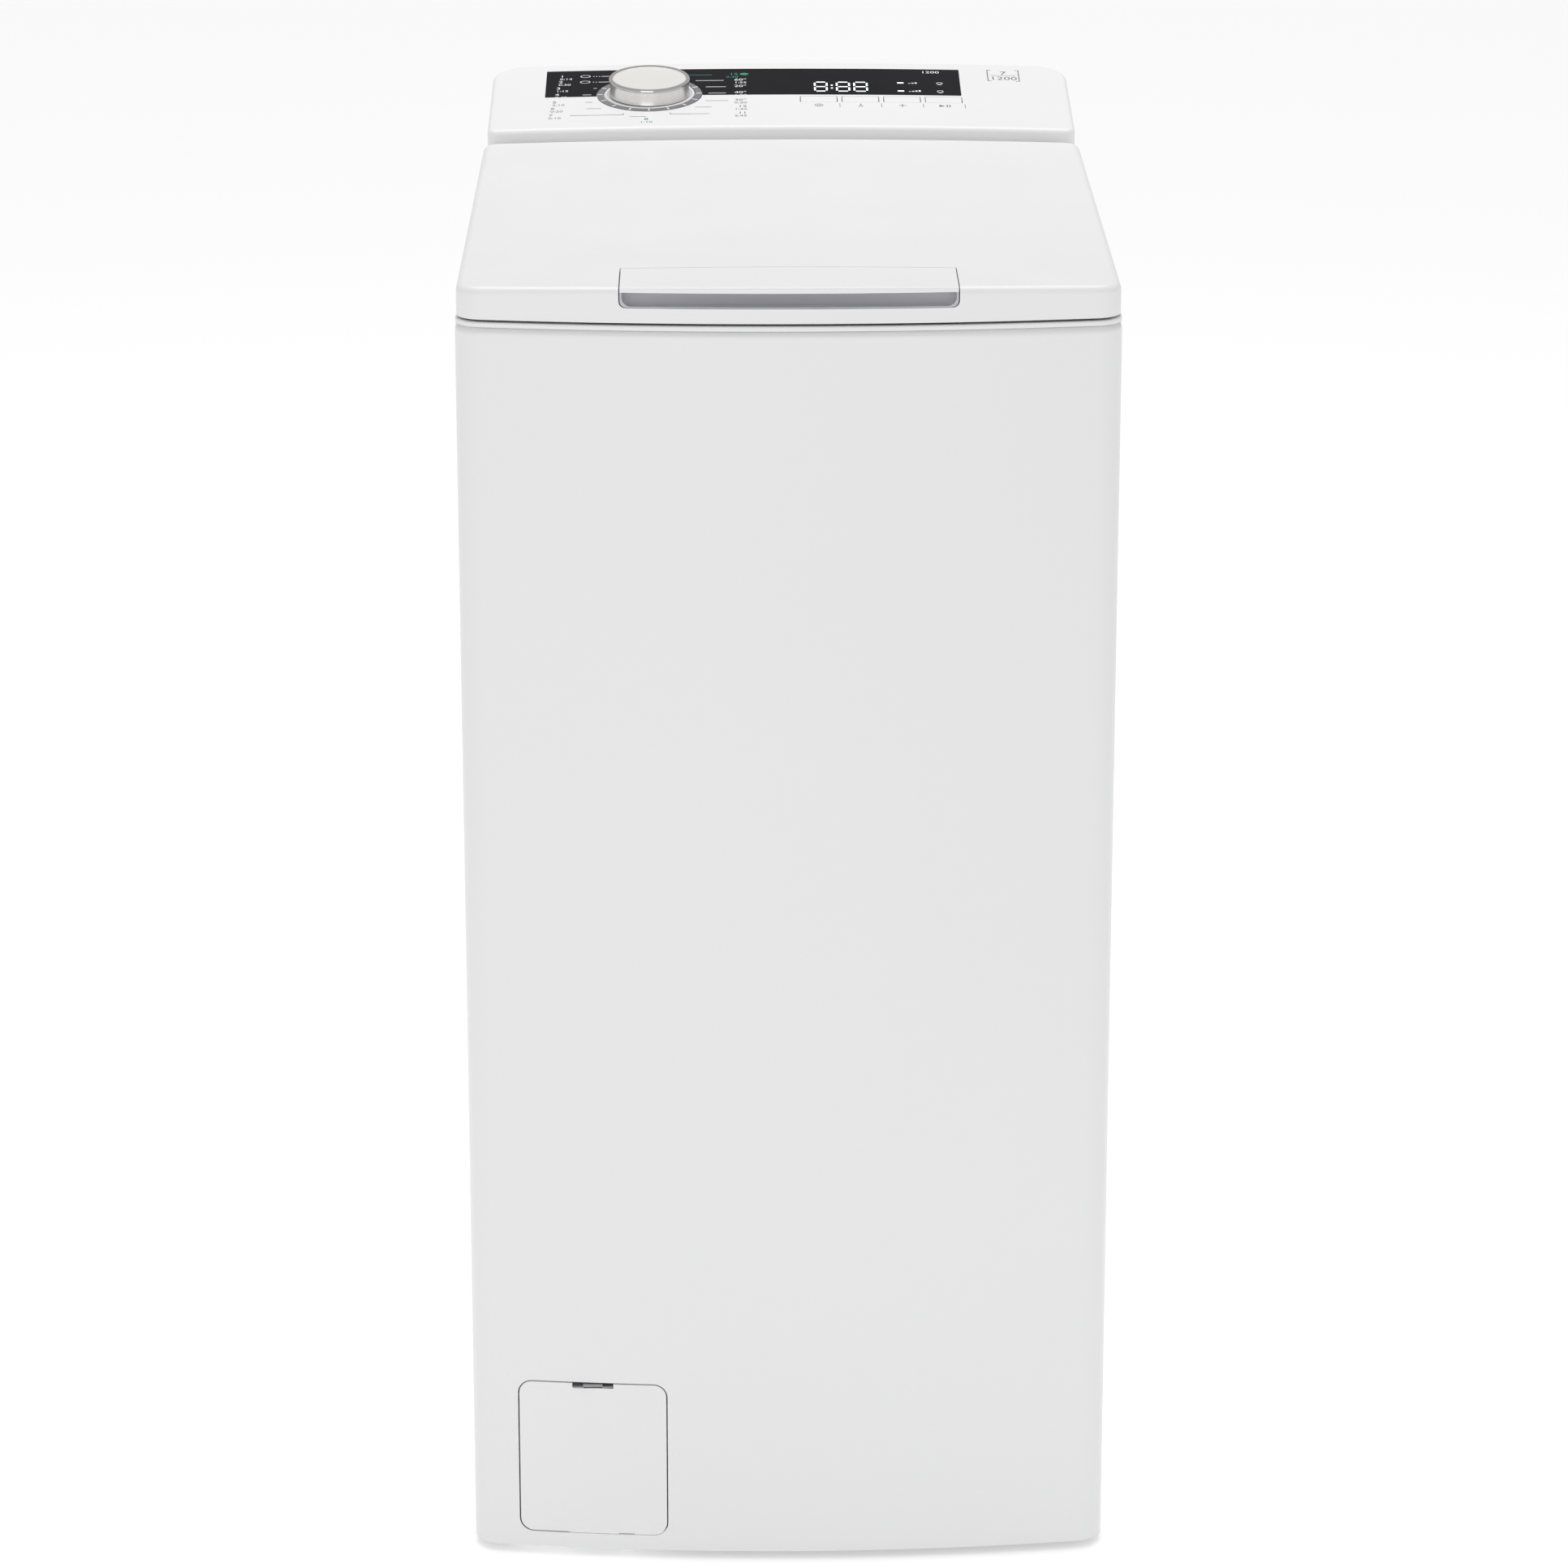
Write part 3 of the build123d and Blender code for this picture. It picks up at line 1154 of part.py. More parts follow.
front_panel()
side_panel(-1, "left_side_panel")
side_panel(1, "right_side_panel")
rear_panel()
rear_cover()
cabinet_screws()
base_frame()
levelling_feet()
top_frame()
lid_hinge_pins()
console_housing()
console_fascia()
dial_ring()
program_knob()
for number in range(4):
    push_key(number)
control_board()
lid_shell()
lid_liner()
lid_handle()
dispenser_tray()
door_lock()
lock_bolt()
filter_door()
filter_bay()
filter_housing()
filter_plug()
drain_pump()
pump_impeller()
drain_hose()
drain_outlet()
inlet_valve()
inlet_hose()
cable_gland()
sump_hose()
door_bellows()
suspension_springs()
damper_cylinders()
damper_rods()
tub_pieces()
tub_screws()
bearings()
shaft_seals()
counterweights()
heater()
motor_housing()
motor_rotor()
drive_belt()
drum_shell()
drum_ends()
drum_paddles()
drum_pulley()
flap_hinge_pins()
drum_flap(-1, "drum_flap_front")
drum_flap(1, "drum_flap_rear")
flap_button()
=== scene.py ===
"""Looks of the narrow top load washing machine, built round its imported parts.

Shapes are drawn in millimetres and turned into metres when a piece is finished.
"""

import json
import math

import bmesh
import bpy
from mathutils import Matrix, Vector


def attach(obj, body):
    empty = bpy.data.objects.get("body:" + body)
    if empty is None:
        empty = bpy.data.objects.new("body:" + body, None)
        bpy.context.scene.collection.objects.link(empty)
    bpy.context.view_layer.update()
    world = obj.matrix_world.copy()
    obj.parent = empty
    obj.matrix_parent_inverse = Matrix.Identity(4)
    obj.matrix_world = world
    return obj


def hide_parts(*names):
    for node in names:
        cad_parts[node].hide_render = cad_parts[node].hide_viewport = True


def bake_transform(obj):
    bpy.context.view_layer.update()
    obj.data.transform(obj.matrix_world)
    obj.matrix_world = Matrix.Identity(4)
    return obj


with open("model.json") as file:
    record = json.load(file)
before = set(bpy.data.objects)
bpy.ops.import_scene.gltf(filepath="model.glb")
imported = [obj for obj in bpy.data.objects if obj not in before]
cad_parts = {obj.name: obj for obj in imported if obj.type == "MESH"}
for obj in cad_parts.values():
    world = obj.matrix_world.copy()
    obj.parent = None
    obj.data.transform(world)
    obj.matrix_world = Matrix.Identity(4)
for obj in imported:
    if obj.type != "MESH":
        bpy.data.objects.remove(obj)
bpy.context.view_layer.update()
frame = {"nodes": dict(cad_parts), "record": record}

# Cabinet
HALF_W = 200.0
BOW_RADIUS = 1250.0
BOW_CENTRE_Y = 950.0
CORNER_RADIUS = 18.0
SEAM_Y = -258.0
REAR_Y = 284.0
PANEL_Z = (5.0, 797.5)
DECK_Z = (797.6, 800.5)
SHEET = 1.0

# Lid
SKIRT_Z = 802.0
LID_TOP = 824.0
LID_INSET = 1.0
LID_REAR_Y = 160.5
LID_WALL = 2.5
HINGE = (146.5, 812.5)
HINGE_X = 173.0
HANDLE_X = 101.0
HANDLE_REAR_Y = -241.0
RECESS_Z = 811.0
LIP_Z = 820.4
CROWN_RADIUS = (HALF_W**2 + 3.0**2) / 6.0

# Console
CONSOLE_FRONT_Y = 163.5
CONSOLE_REAR_Y = 297.0
CONSOLE_X = 196.8
CONSOLE_FRONT_TOP = 831.5
SLOPE = math.atan2(850.0 - CONSOLE_FRONT_TOP, 294.0 - CONSOLE_FRONT_Y)
KNOB = (-89.0, 68.5)
FASCIA_X = (-160.0, 123.0)
FASCIA_V = (65.5, 120.5)
KEY_LEFT = 13.1
KEY_PITCH = 28.25
KEY_WIDTH = 25.5
KEY_V = (50.0, 62.5)

# Filter door
DOOR_X = (-171.0, -76.5)
DOOR_Z = (15.0, 119.0)
DOOR_RADIUS = 9.0

# Drum and tub
AXIS = (-38.0, 430.0)


# ------------------------------------------------------------------ drawing


def line(bm, vert, point):
    """Straight edge on from a vertex."""
    end = bmesh.ops.extrude_vert_indiv(bm, verts=[vert])["verts"][0]
    end.co = point
    return end


def arc(bm, vert, centre, degrees, steps):
    """Arc on from a vertex, about an upright axis."""
    made = bmesh.ops.spin(
        bm, geom=[vert], cent=centre, axis=(0, 0, 1), angle=math.radians(degrees), steps=steps
    )
    return [g for g in made["geom_last"] if isinstance(g, bmesh.types.BMVert)][0]


def filled(bm):
    """Close a drawn line into a flat face."""
    bmesh.ops.remove_doubles(bm, verts=bm.verts, dist=0.001)
    ends = [v for v in bm.verts if len(v.link_edges) == 1]
    if len(ends) == 2:
        bm.edges.new(ends)
    return bmesh.ops.contextual_create(bm, geom=bm.edges[:])["faces"][0]


def bowed_face(bm, inset, rear_y, z, rear_radius=0.0, steps=72):
    """Plan of the cabinet: bowed front, rounded front corners."""
    half = HALF_W - inset
    corner = CORNER_RADIUS - inset
    across = half - corner
    bow = BOW_RADIUS - inset
    corner_y = BOW_CENTRE_Y - math.sqrt((bow - corner) ** 2 - across**2)
    swing = math.degrees(math.asin(across / (bow - corner)))
    first = bm.verts.new((-half, rear_y - rear_radius, z))
    point = line(bm, first, (-half, corner_y, z))
    point = arc(bm, point, (-across, corner_y, z), 90 - swing, 10)
    point = arc(bm, point, (0, BOW_CENTRE_Y, z), 2 * swing, steps)
    point = arc(bm, point, (across, corner_y, z), 90 - swing, 10)
    point = line(bm, point, (half, rear_y - rear_radius, z))
    if rear_radius:
        point = arc(bm, point, (half - rear_radius, rear_y - rear_radius, z), 90, 10)
        point = line(bm, point, (-half + rear_radius, rear_y, z))
        point = arc(bm, point, (-half + rear_radius, rear_y - rear_radius, z), 90, 10)
    return filled(bm)


def rectangle(bm, x, y, radii, z=0.0, steps=6):
    """Rounded rectangle; its radii run anticlockwise from the low X and low Y corner."""
    corners = ((x[0], y[0], 1, 1), (x[1], y[0], -1, 1), (x[1], y[1], -1, -1), (x[0], y[1], 1, -1))
    first = point = None
    for (cx, cy, sx, sy), radius in zip(corners, radii):
        start = (cx, cy + sy * radius, z) if sx == sy else (cx + sx * radius, cy, z)
        point = line(bm, point, start) if point else bm.verts.new(start)
        first = first or point
        if radius:
            point = arc(bm, point, (cx + sx * radius, cy + sy * radius, z), 90, steps)
    return filled(bm)


def raised(bm, face, height):
    """Extrude a flat face into a closed block and return its far face."""
    made = bmesh.ops.extrude_face_region(bm, geom=[face])
    top = [g for g in made["geom"] if isinstance(g, bmesh.types.BMFace)][0]
    bmesh.ops.translate(bm, vec=(0, 0, height), verts=top.verts)
    bmesh.ops.recalc_face_normals(bm, faces=bm.faces)
    return top


def rounded(bm, edges, radius, segments=4):
    """Round edges off."""
    bmesh.ops.bevel(
        bm, geom=edges, offset=radius, offset_type="OFFSET", segments=segments,
        profile=0.5, affect="EDGES", material=-1,
    )


def strips(bm, low, high, step):
    """Slice a shape across X, so that it can bend to the crown."""
    x = low
    while x <= high:
        geom = bm.verts[:] + bm.edges[:] + bm.faces[:]
        bmesh.ops.bisect_plane(bm, geom=geom, dist=0.0005, plane_co=(x, 0, 0), plane_no=(1, 0, 0))
        x += step


def crown_drop(x):
    """How far a crowned top lies under its middle."""
    return CROWN_RADIUS - math.sqrt(CROWN_RADIUS**2 - x**2)


def block(bm, x, y, z):
    """Box between limits, its corners left sharp."""
    made = bmesh.ops.create_cube(bm, size=1.0)
    size = (x[1] - x[0], y[1] - y[0], z[1] - z[0])
    bmesh.ops.scale(bm, vec=size, verts=made["verts"])
    bmesh.ops.translate(bm, vec=[(a + b) / 2 for a, b in (x, y, z)], verts=made["verts"])
    return made["verts"]


def lathe(profile, steps=96):
    """Turn a line of (radius, height) points about the upright axis."""
    bm = bmesh.new()
    vert = bm.verts.new((profile[0][0], 0, profile[0][1]))
    for radius, height in profile[1:]:
        vert = line(bm, vert, (radius, 0, height))
    bmesh.ops.spin(
        bm, geom=bm.verts[:] + bm.edges[:], cent=(0, 0, 0), axis=(0, 0, 1),
        angle=2 * math.pi, steps=steps, use_merge=True,
    )
    bmesh.ops.remove_doubles(bm, verts=bm.verts, dist=0.0005)
    bmesh.ops.recalc_face_normals(bm, faces=bm.faces)
    return bm


SLOPE_FRAME = Matrix.Translation((0, CONSOLE_FRONT_Y, CONSOLE_FRONT_TOP)) @ Matrix.Rotation(SLOPE, 4, "X")


def onto_slope(bm, crowned=True):
    """Carry a shape drawn flat (X, up the slope, away from it) onto the console."""
    if crowned:
        for vert in bm.verts:
            vert.co.z -= crown_drop(vert.co.x)
    bmesh.ops.transform(bm, matrix=SLOPE_FRAME, verts=bm.verts)
    return bm


# ------------------------------------------------------------------ pieces


def made_object(name, bm, *materials):
    """Mesh object from a drawn shape, still in millimetres."""
    mesh = bpy.data.meshes.new(name)
    bm.to_mesh(mesh)
    bm.free()
    for shade in materials:
        mesh.materials.append(shade)
    obj = bpy.data.objects.new(name, mesh)
    bpy.context.scene.collection.objects.link(obj)
    return obj


def settled(obj):
    """Turn an object's modifiers into its mesh."""
    graph = bpy.context.evaluated_depsgraph_get()
    mesh = bpy.data.meshes.new_from_object(obj.evaluated_get(graph), depsgraph=graph)
    old = obj.data
    obj.modifiers.clear()
    obj.data = mesh
    bpy.data.meshes.remove(old)
    return obj


def cut(obj, bm, shade, operation="DIFFERENCE"):
    """Cut a drawn shape out of an object; the cut faces take a material."""
    tool = made_object("Tool", bm, shade)
    carve = obj.modifiers.new("Carve", "BOOLEAN")
    carve.operation = operation
    carve.solver = "EXACT"
    carve.object = tool
    carve.material_mode = "TRANSFER"
    settled(obj)
    bpy.data.objects.remove(tool)
    return obj


def walled(obj, thickness):
    """Give an open skin its wall, inwards."""
    wall = obj.modifiers.new("Wall", "SOLIDIFY")
    wall.thickness = thickness
    wall.offset = -1
    wall.use_even_offset = True
    return settled(obj)


def finished(obj, body, slot, *nodes, angle=32, weighted=True):
    """Put a piece into metres, smooth it and fix it to its body."""
    obj.data.transform(Matrix.Scale(0.001, 4))
    obj.data.shade_smooth()
    obj.data.set_sharp_from_angle(angle=math.radians(angle))
    if weighted:
        even = obj.modifiers.new("Even", "WEIGHTED_NORMAL")
        even.keep_sharp = True
    if body:
        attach(obj, body)
    if nodes:
        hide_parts(*nodes)
    return obj


# ------------------------------------------------------------------ finishes


def shader_group(name, inputs, outputs):
    """Empty node group with named sockets."""
    tree = bpy.data.node_groups.new(name, "ShaderNodeTree")
    for label, kind, value in inputs:
        socket = tree.interface.new_socket(name=label, in_out="INPUT", socket_type=kind)
        if value is not None:
            socket.default_value = value
    for label, kind in outputs:
        tree.interface.new_socket(name=label, in_out="OUTPUT", socket_type=kind)
    return tree, tree.nodes.new("NodeGroupInput"), tree.nodes.new("NodeGroupOutput")


def noise(tree, vector, scale, detail=2.0, roughness=0.5):
    """Noise texture node on a vector."""
    node = tree.nodes.new("ShaderNodeTexNoise")
    node.inputs["Detail"].default_value = detail
    node.inputs["Roughness"].default_value = roughness
    if isinstance(scale, float):
        node.inputs["Scale"].default_value = scale
    else:
        tree.links.new(scale, node.inputs["Scale"])
    tree.links.new(vector, node.inputs["Vector"])
    return node.outputs["Fac"]


def maths(tree, operation, *values):
    """Math node; each value is a number or a socket."""
    node = tree.nodes.new("ShaderNodeMath")
    node.operation = operation
    for index, value in enumerate(values):
        if isinstance(value, (int, float)):
            node.inputs[index].default_value = value
        else:
            tree.links.new(value, node.inputs[index])
    return node.outputs[0]


def spread(tree, value, low, high, source=(0.3, 0.7)):
    """Map a value from one span onto another."""
    node = tree.nodes.new("ShaderNodeMapRange")
    node.inputs["From Min"].default_value = source[0]
    node.inputs["From Max"].default_value = source[1]
    for label, bound in (("To Min", low), ("To Max", high)):
        if isinstance(bound, float):
            node.inputs[label].default_value = bound
        else:
            tree.links.new(bound, node.inputs[label])
    tree.links.new(value, node.inputs["Value"])
    return node.outputs["Result"]


def blended(tree, factor, first, second, mode="MIX"):
    """Colour mix of two sockets or colours."""
    node = tree.nodes.new("ShaderNodeMix")
    node.data_type = "RGBA"
    node.blend_type = mode
    for socket, value in ((node.inputs[0], factor), (node.inputs[6], first), (node.inputs[7], second)):
        if isinstance(value, bpy.types.NodeSocket):
            tree.links.new(value, socket)
        else:
            socket.default_value = value
    return node.outputs[2]


def tone_group():
    """Slow change of colour and a fine surface grain."""
    tree, put, out = shader_group(
        "Tone and grain",
        (
            ("Vector", "NodeSocketVector", None),
            ("Colour", "NodeSocketColor", (0.8, 0.8, 0.8, 1)),
            ("Tone Scale", "NodeSocketFloat", 5.0),
            ("Tone Depth", "NodeSocketFloat", 0.03),
            ("Grain Scale", "NodeSocketFloat", 900.0),
        ),
        (("Colour", "NodeSocketColor"), ("Grain", "NodeSocketFloat")),
    )
    slow = noise(tree, put.outputs["Vector"], put.outputs["Tone Scale"], 3.0)
    dark = maths(tree, "SUBTRACT", 1.0, put.outputs["Tone Depth"])
    level = spread(tree, slow, dark, 1.0)
    grey = tree.nodes.new("ShaderNodeCombineColor")
    for channel in range(3):
        tree.links.new(level, grey.inputs[channel])
    tinted = blended(tree, 1.0, put.outputs["Colour"], grey.outputs[0], "MULTIPLY")
    tree.links.new(tinted, out.inputs["Colour"])
    tree.links.new(noise(tree, put.outputs["Vector"], put.outputs["Grain Scale"], 2.0), out.inputs["Grain"])
    return tree


def sheen_group():
    """Patches of slightly duller and shinier surface, as handling leaves them."""
    tree, put, out = shader_group(
        "Handled sheen",
        (
            ("Vector", "NodeSocketVector", None),
            ("Low", "NodeSocketFloat", 0.3),
            ("High", "NodeSocketFloat", 0.4),
        ),
        (("Roughness", "NodeSocketFloat"),),
    )
    patches = noise(tree, put.outputs["Vector"], 11.0, 5.0, 0.6)
    node = tree.nodes.new("ShaderNodeMapRange")
    node.inputs["From Min"].default_value = 0.3
    node.inputs["From Max"].default_value = 0.7
    tree.links.new(put.outputs["Low"], node.inputs["To Min"])
    tree.links.new(put.outputs["High"], node.inputs["To Max"])
    tree.links.new(patches, node.inputs["Value"])
    tree.links.new(node.outputs["Result"], out.inputs["Roughness"])
    return tree


def brushed_group():
    """Long fine lines that a brush leaves in metal."""
    tree, put, out = shader_group(
        "Brushed lines",
        (
            ("Vector", "NodeSocketVector", None),
            ("Colour", "NodeSocketColor", (0.6, 0.6, 0.6, 1)),
            ("Depth", "NodeSocketFloat", 0.2),
        ),
        (("Colour", "NodeSocketColor"), ("Lines", "NodeSocketFloat")),
    )
    stretch = tree.nodes.new("ShaderNodeMapping")
    stretch.inputs["Scale"].default_value = (6.0, 260.0, 260.0)
    tree.links.new(put.outputs["Vector"], stretch.inputs["Vector"])
    lines = noise(tree, stretch.outputs["Vector"], 3.0, 4.0, 0.7)
    dark = maths(tree, "SUBTRACT", 1.0, put.outputs["Depth"])
    level = spread(tree, lines, dark, 1.0)
    grey = tree.nodes.new("ShaderNodeCombineColor")
    for channel in range(3):
        tree.links.new(level, grey.inputs[channel])
    tinted = blended(tree, 1.0, put.outputs["Colour"], grey.outputs[0], "MULTIPLY")
    tree.links.new(tinted, out.inputs["Colour"])
    tree.links.new(lines, out.inputs["Lines"])
    return tree


def hole_group():
    """Staggered rows of round holes on a flat pair of coordinates."""
    tree, put, out = shader_group(
        "Hole rows",
        (
            ("Across", "NodeSocketFloat", 0.0),
            ("Along", "NodeSocketFloat", 0.0),
            ("Pitch", "NodeSocketFloat", 0.02),
            ("Radius", "NodeSocketFloat", 0.1),
        ),
        (("Hole", "NodeSocketFloat"),),
    )
    across = maths(tree, "DIVIDE", put.outputs["Across"], put.outputs["Pitch"])
    along = maths(tree, "DIVIDE", put.outputs["Along"], put.outputs["Pitch"])
    row = maths(tree, "FLOOR", along)
    shift = maths(tree, "MULTIPLY", maths(tree, "PINGPONG", row, 1.0), 0.5)
    u = maths(tree, "SUBTRACT", maths(tree, "FRACT", maths(tree, "ADD", across, shift)), 0.5)
    v = maths(tree, "SUBTRACT", maths(tree, "FRACT", along), 0.5)
    squares = maths(tree, "ADD", maths(tree, "MULTIPLY", u, u), maths(tree, "MULTIPLY", v, v))
    far = maths(tree, "SQRT", squares)
    edge = maths(tree, "SUBTRACT", put.outputs["Radius"], far)
    tree.links.new(spread(tree, edge, 0.0, 1.0, (-0.015, 0.015)), out.inputs["Hole"])
    return tree


def edge_rub_and_highlight_group():
    """Lighter or darker tint on sharp edges, from the mesh's own curvature; where it lightens them it is
    partly rub wear and partly a painted highlight.
    """
    tree, put, out = shader_group(
        "Edge rub and painted highlight",
        (
            ("Colour", "NodeSocketColor", (0.5, 0.5, 0.5, 1)),
            ("Rubbed", "NodeSocketColor", (0.7, 0.7, 0.7, 1)),
            ("Amount", "NodeSocketFloat", 0.3),
        ),
        (("Colour", "NodeSocketColor"),),
    )
    shape = tree.nodes.new("ShaderNodeNewGeometry")
    edge = spread(tree, shape.outputs["Pointiness"], 0.0, 1.0, (0.52, 0.6))
    mask = maths(tree, "MULTIPLY", edge, put.outputs["Amount"])
    tree.links.new(blended(tree, mask, put.outputs["Colour"], put.outputs["Rubbed"]), out.inputs["Colour"])
    return tree


TONE = tone_group()
SHEEN = sheen_group()
BRUSHED = brushed_group()
HOLES = hole_group()
EDGE_RUB_AND_HIGHLIGHT = edge_rub_and_highlight_group()


def placed_group(tree, group, **values):
    """Group node with its values set or linked."""
    node = tree.nodes.new("ShaderNodeGroup")
    node.node_tree = group
    for label, value in values.items():
        socket = node.inputs[label.replace("_", " ")]
        if isinstance(value, bpy.types.NodeSocket):
            tree.links.new(value, socket)
        else:
            socket.default_value = value
    return node


def finish(name, colour, sheen, metallic=0.0, tone=(5.0, 0.03), grain=(900.0, 0.05), extra=None, **constants):
    """Material with a tone, handled sheen, grain and, where asked for, its own pattern."""
    shade = bpy.data.materials.new(name)
    shade.use_nodes = True
    tree = shade.node_tree
    surface = tree.nodes["Principled BSDF"]
    surface.inputs["Metallic"].default_value = metallic
    for label, value in constants.items():
        surface.inputs[label.replace("_", " ")].default_value = value
    vector = tree.nodes.new("ShaderNodeTexCoord").outputs["Object"]
    base = placed_group(
        tree, TONE, Vector=vector, Colour=(*colour, 1),
        Tone_Scale=tone[0], Tone_Depth=tone[1], Grain_Scale=grain[0],
    )
    hue, height = base.outputs["Colour"], base.outputs["Grain"]
    if extra:
        hue, height = extra(tree, vector, hue, height)
    tree.links.new(hue, surface.inputs["Base Color"])
    polish = placed_group(tree, SHEEN, Vector=vector, Low=sheen[0], High=sheen[1])
    tree.links.new(polish.outputs["Roughness"], surface.inputs["Roughness"])
    bump = tree.nodes.new("ShaderNodeBump")
    bump.inputs["Strength"].default_value = grain[1]
    bump.inputs["Distance"].default_value = 0.001
    tree.links.new(height, bump.inputs["Height"])
    tree.links.new(bump.outputs["Normal"], surface.inputs["Normal"])
    return shade


def brushed_extra(depth):
    """Pattern of brushed metal."""
    def pattern(tree, vector, hue, height):
        lines = placed_group(tree, BRUSHED, Vector=vector, Colour=hue, Depth=depth)
        return lines.outputs["Colour"], lines.outputs["Lines"]
    return pattern


def drum_extra(tree, vector, hue, height):
    """Brushed steel wound round the drum axis, with its rows of holes painted near black as painted shade
    seen through them.
    """
    apart = tree.nodes.new("ShaderNodeSeparateXYZ")
    tree.links.new(vector, apart.inputs[0])
    y = maths(tree, "SUBTRACT", apart.outputs["Y"], AXIS[0] / 1000)
    z = maths(tree, "SUBTRACT", apart.outputs["Z"], AXIS[1] / 1000)
    turn = maths(tree, "MULTIPLY", maths(tree, "ARCTAN2", y, z), 0.22)
    across = maths(tree, "ADD", apart.outputs["X"], 10.0)
    along = maths(tree, "ADD", turn, 10.0)
    holes = placed_group(tree, HOLES, Across=across, Along=along, Pitch=0.0135, Radius=0.15).outputs["Hole"]
    lines = placed_group(tree, BRUSHED, Vector=vector, Colour=hue, Depth=0.18)
    # holes filled near black: painted shade in place of the view through them
    dark = blended(tree, holes, lines.outputs["Colour"], (0.01, 0.01, 0.01, 1))
    return dark, maths(tree, "SUBTRACT", lines.outputs["Lines"], maths(tree, "MULTIPLY", holes, 4.0))


def edge_rub_and_highlight_extra(rub_and_highlight_colour, amount):
    """Edges tinted another colour: partly rub wear, partly a painted highlight."""
    def pattern(tree, vector, hue, height):
        # edge tint: partly rub wear, partly a painted highlight on sharp edges
        rub = placed_group(tree, EDGE_RUB_AND_HIGHLIGHT, Colour=hue, Rubbed=(*rub_and_highlight_colour, 1), Amount=amount)
        return rub.outputs["Colour"], height
    return pattern


def spangle_extra(tree, vector, hue, height):
    """Crystal patches of a zinc coat."""
    cells = tree.nodes.new("ShaderNodeTexVoronoi")
    cells.inputs["Scale"].default_value = 110.0
    tree.links.new(vector, cells.inputs["Vector"])
    tinted = blended(tree, 0.22, hue, cells.outputs["Color"], "SOFT_LIGHT")
    plain = tree.nodes.new("ShaderNodeHueSaturation")
    plain.inputs["Saturation"].default_value = 0.15
    tree.links.new(tinted, plain.inputs["Color"])
    return plain.outputs["Color"], height


def concrete_extra(tree, vector, hue, height):
    """Stones and pores of cast concrete."""
    stones = tree.nodes.new("ShaderNodeTexVoronoi")
    stones.inputs["Scale"].default_value = 160.0
    tree.links.new(vector, stones.inputs["Vector"])
    mask = spread(tree, stones.outputs["Distance"], 1.0, 0.0, (0.2, 0.5))
    mixed = blended(tree, maths(tree, "MULTIPLY", mask, 0.4), hue, (0.22, 0.21, 0.19, 1))
    return mixed, maths(tree, "ADD", height, maths(tree, "MULTIPLY", mask, 0.5))


def trace_extra(tree, vector, hue, height):
    """Copper traces under a solder mask."""
    brick = tree.nodes.new("ShaderNodeTexBrick")
    brick.inputs["Scale"].default_value = 60.0
    brick.inputs["Mortar Size"].default_value = 0.06
    brick.inputs["Color1"].default_value = (0, 0, 0, 1)
    brick.inputs["Color2"].default_value = (0, 0, 0, 1)
    brick.inputs["Mortar"].default_value = (1, 1, 1, 1)
    tree.links.new(vector, brick.inputs["Vector"])
    return blended(tree, brick.outputs["Color"], hue, (0.08, 0.3, 0.14, 1)), height


def rib_extra(scale):
    """Fine ribs round a hose or along a belt."""
    def pattern(tree, vector, hue, height):
        wave = tree.nodes.new("ShaderNodeTexWave")
        wave.inputs["Scale"].default_value = scale
        tree.links.new(vector, wave.inputs["Vector"])
        return hue, maths(tree, "ADD", height, wave.outputs["Fac"])
    return pattern


PAINT = finish(
    "Painted sheet", (0.80, 0.80, 0.807), (0.30, 0.34), tone=(2.0, 0.012), grain=(420.0, 0.02),
    Coat_Weight=0.25, Coat_Roughness=0.12,
)
SHELL = finish(
    "White shell plastic", (0.815, 0.815, 0.815), (0.32, 0.42), tone=(3.0, 0.02), grain=(1500.0, 0.04),
)
# The lighter edge colours given below are partly rub wear and partly a painted highlight.
INNER = finish(
    "Inner white plastic", (0.72, 0.73, 0.74), (0.42, 0.55), tone=(6.0, 0.05), grain=(900.0, 0.1),
    extra=edge_rub_and_highlight_extra((0.85, 0.85, 0.85), 0.3),
)
GLASS = finish(
    "Fascia gloss black", (0.006, 0.006, 0.008), (0.22, 0.3), tone=(4.0, 0.2), grain=(200.0, 0.004),
    Specular_IOR_Level=0.02,
)
BLACK = finish(
    "Black moulded plastic", (0.025, 0.025, 0.027), (0.45, 0.6), tone=(12.0, 0.3),
    grain=(1200.0, 0.15), extra=edge_rub_and_highlight_extra((0.12, 0.12, 0.12), 0.4),
)
GREY = finish(
    "Grey moulded plastic", (0.27, 0.27, 0.29), (0.38, 0.5), tone=(8.0, 0.08), grain=(1200.0, 0.1),
    extra=edge_rub_and_highlight_extra((0.42, 0.42, 0.44), 0.3),
)
RECESS = finish(
    "Recess grey plastic", (0.50, 0.50, 0.535), (0.34, 0.44), tone=(6.0, 0.05), grain=(1400.0, 0.06),
)
DIAL = finish("Dial ring grey", (0.19, 0.19, 0.205), (0.3, 0.42), tone=(20.0, 0.1), grain=(2500.0, 0.05))
CAP = finish("Knob cap satin", (0.72, 0.71, 0.685), (0.28, 0.36), tone=(30.0, 0.03), grain=(3000.0, 0.05))
SKIRT = finish(
    "Knob skirt satin metal", (0.80, 0.79, 0.77), (0.2, 0.3), metallic=0.65, tone=(20.0, 0.05),
    grain=(900.0, 0.03),
)
CHROME = finish(
    "Knob rim chrome", (0.62, 0.61, 0.60), (0.06, 0.12), metallic=1.0, tone=(40.0, 0.05),
    grain=(900.0, 0.01),
)
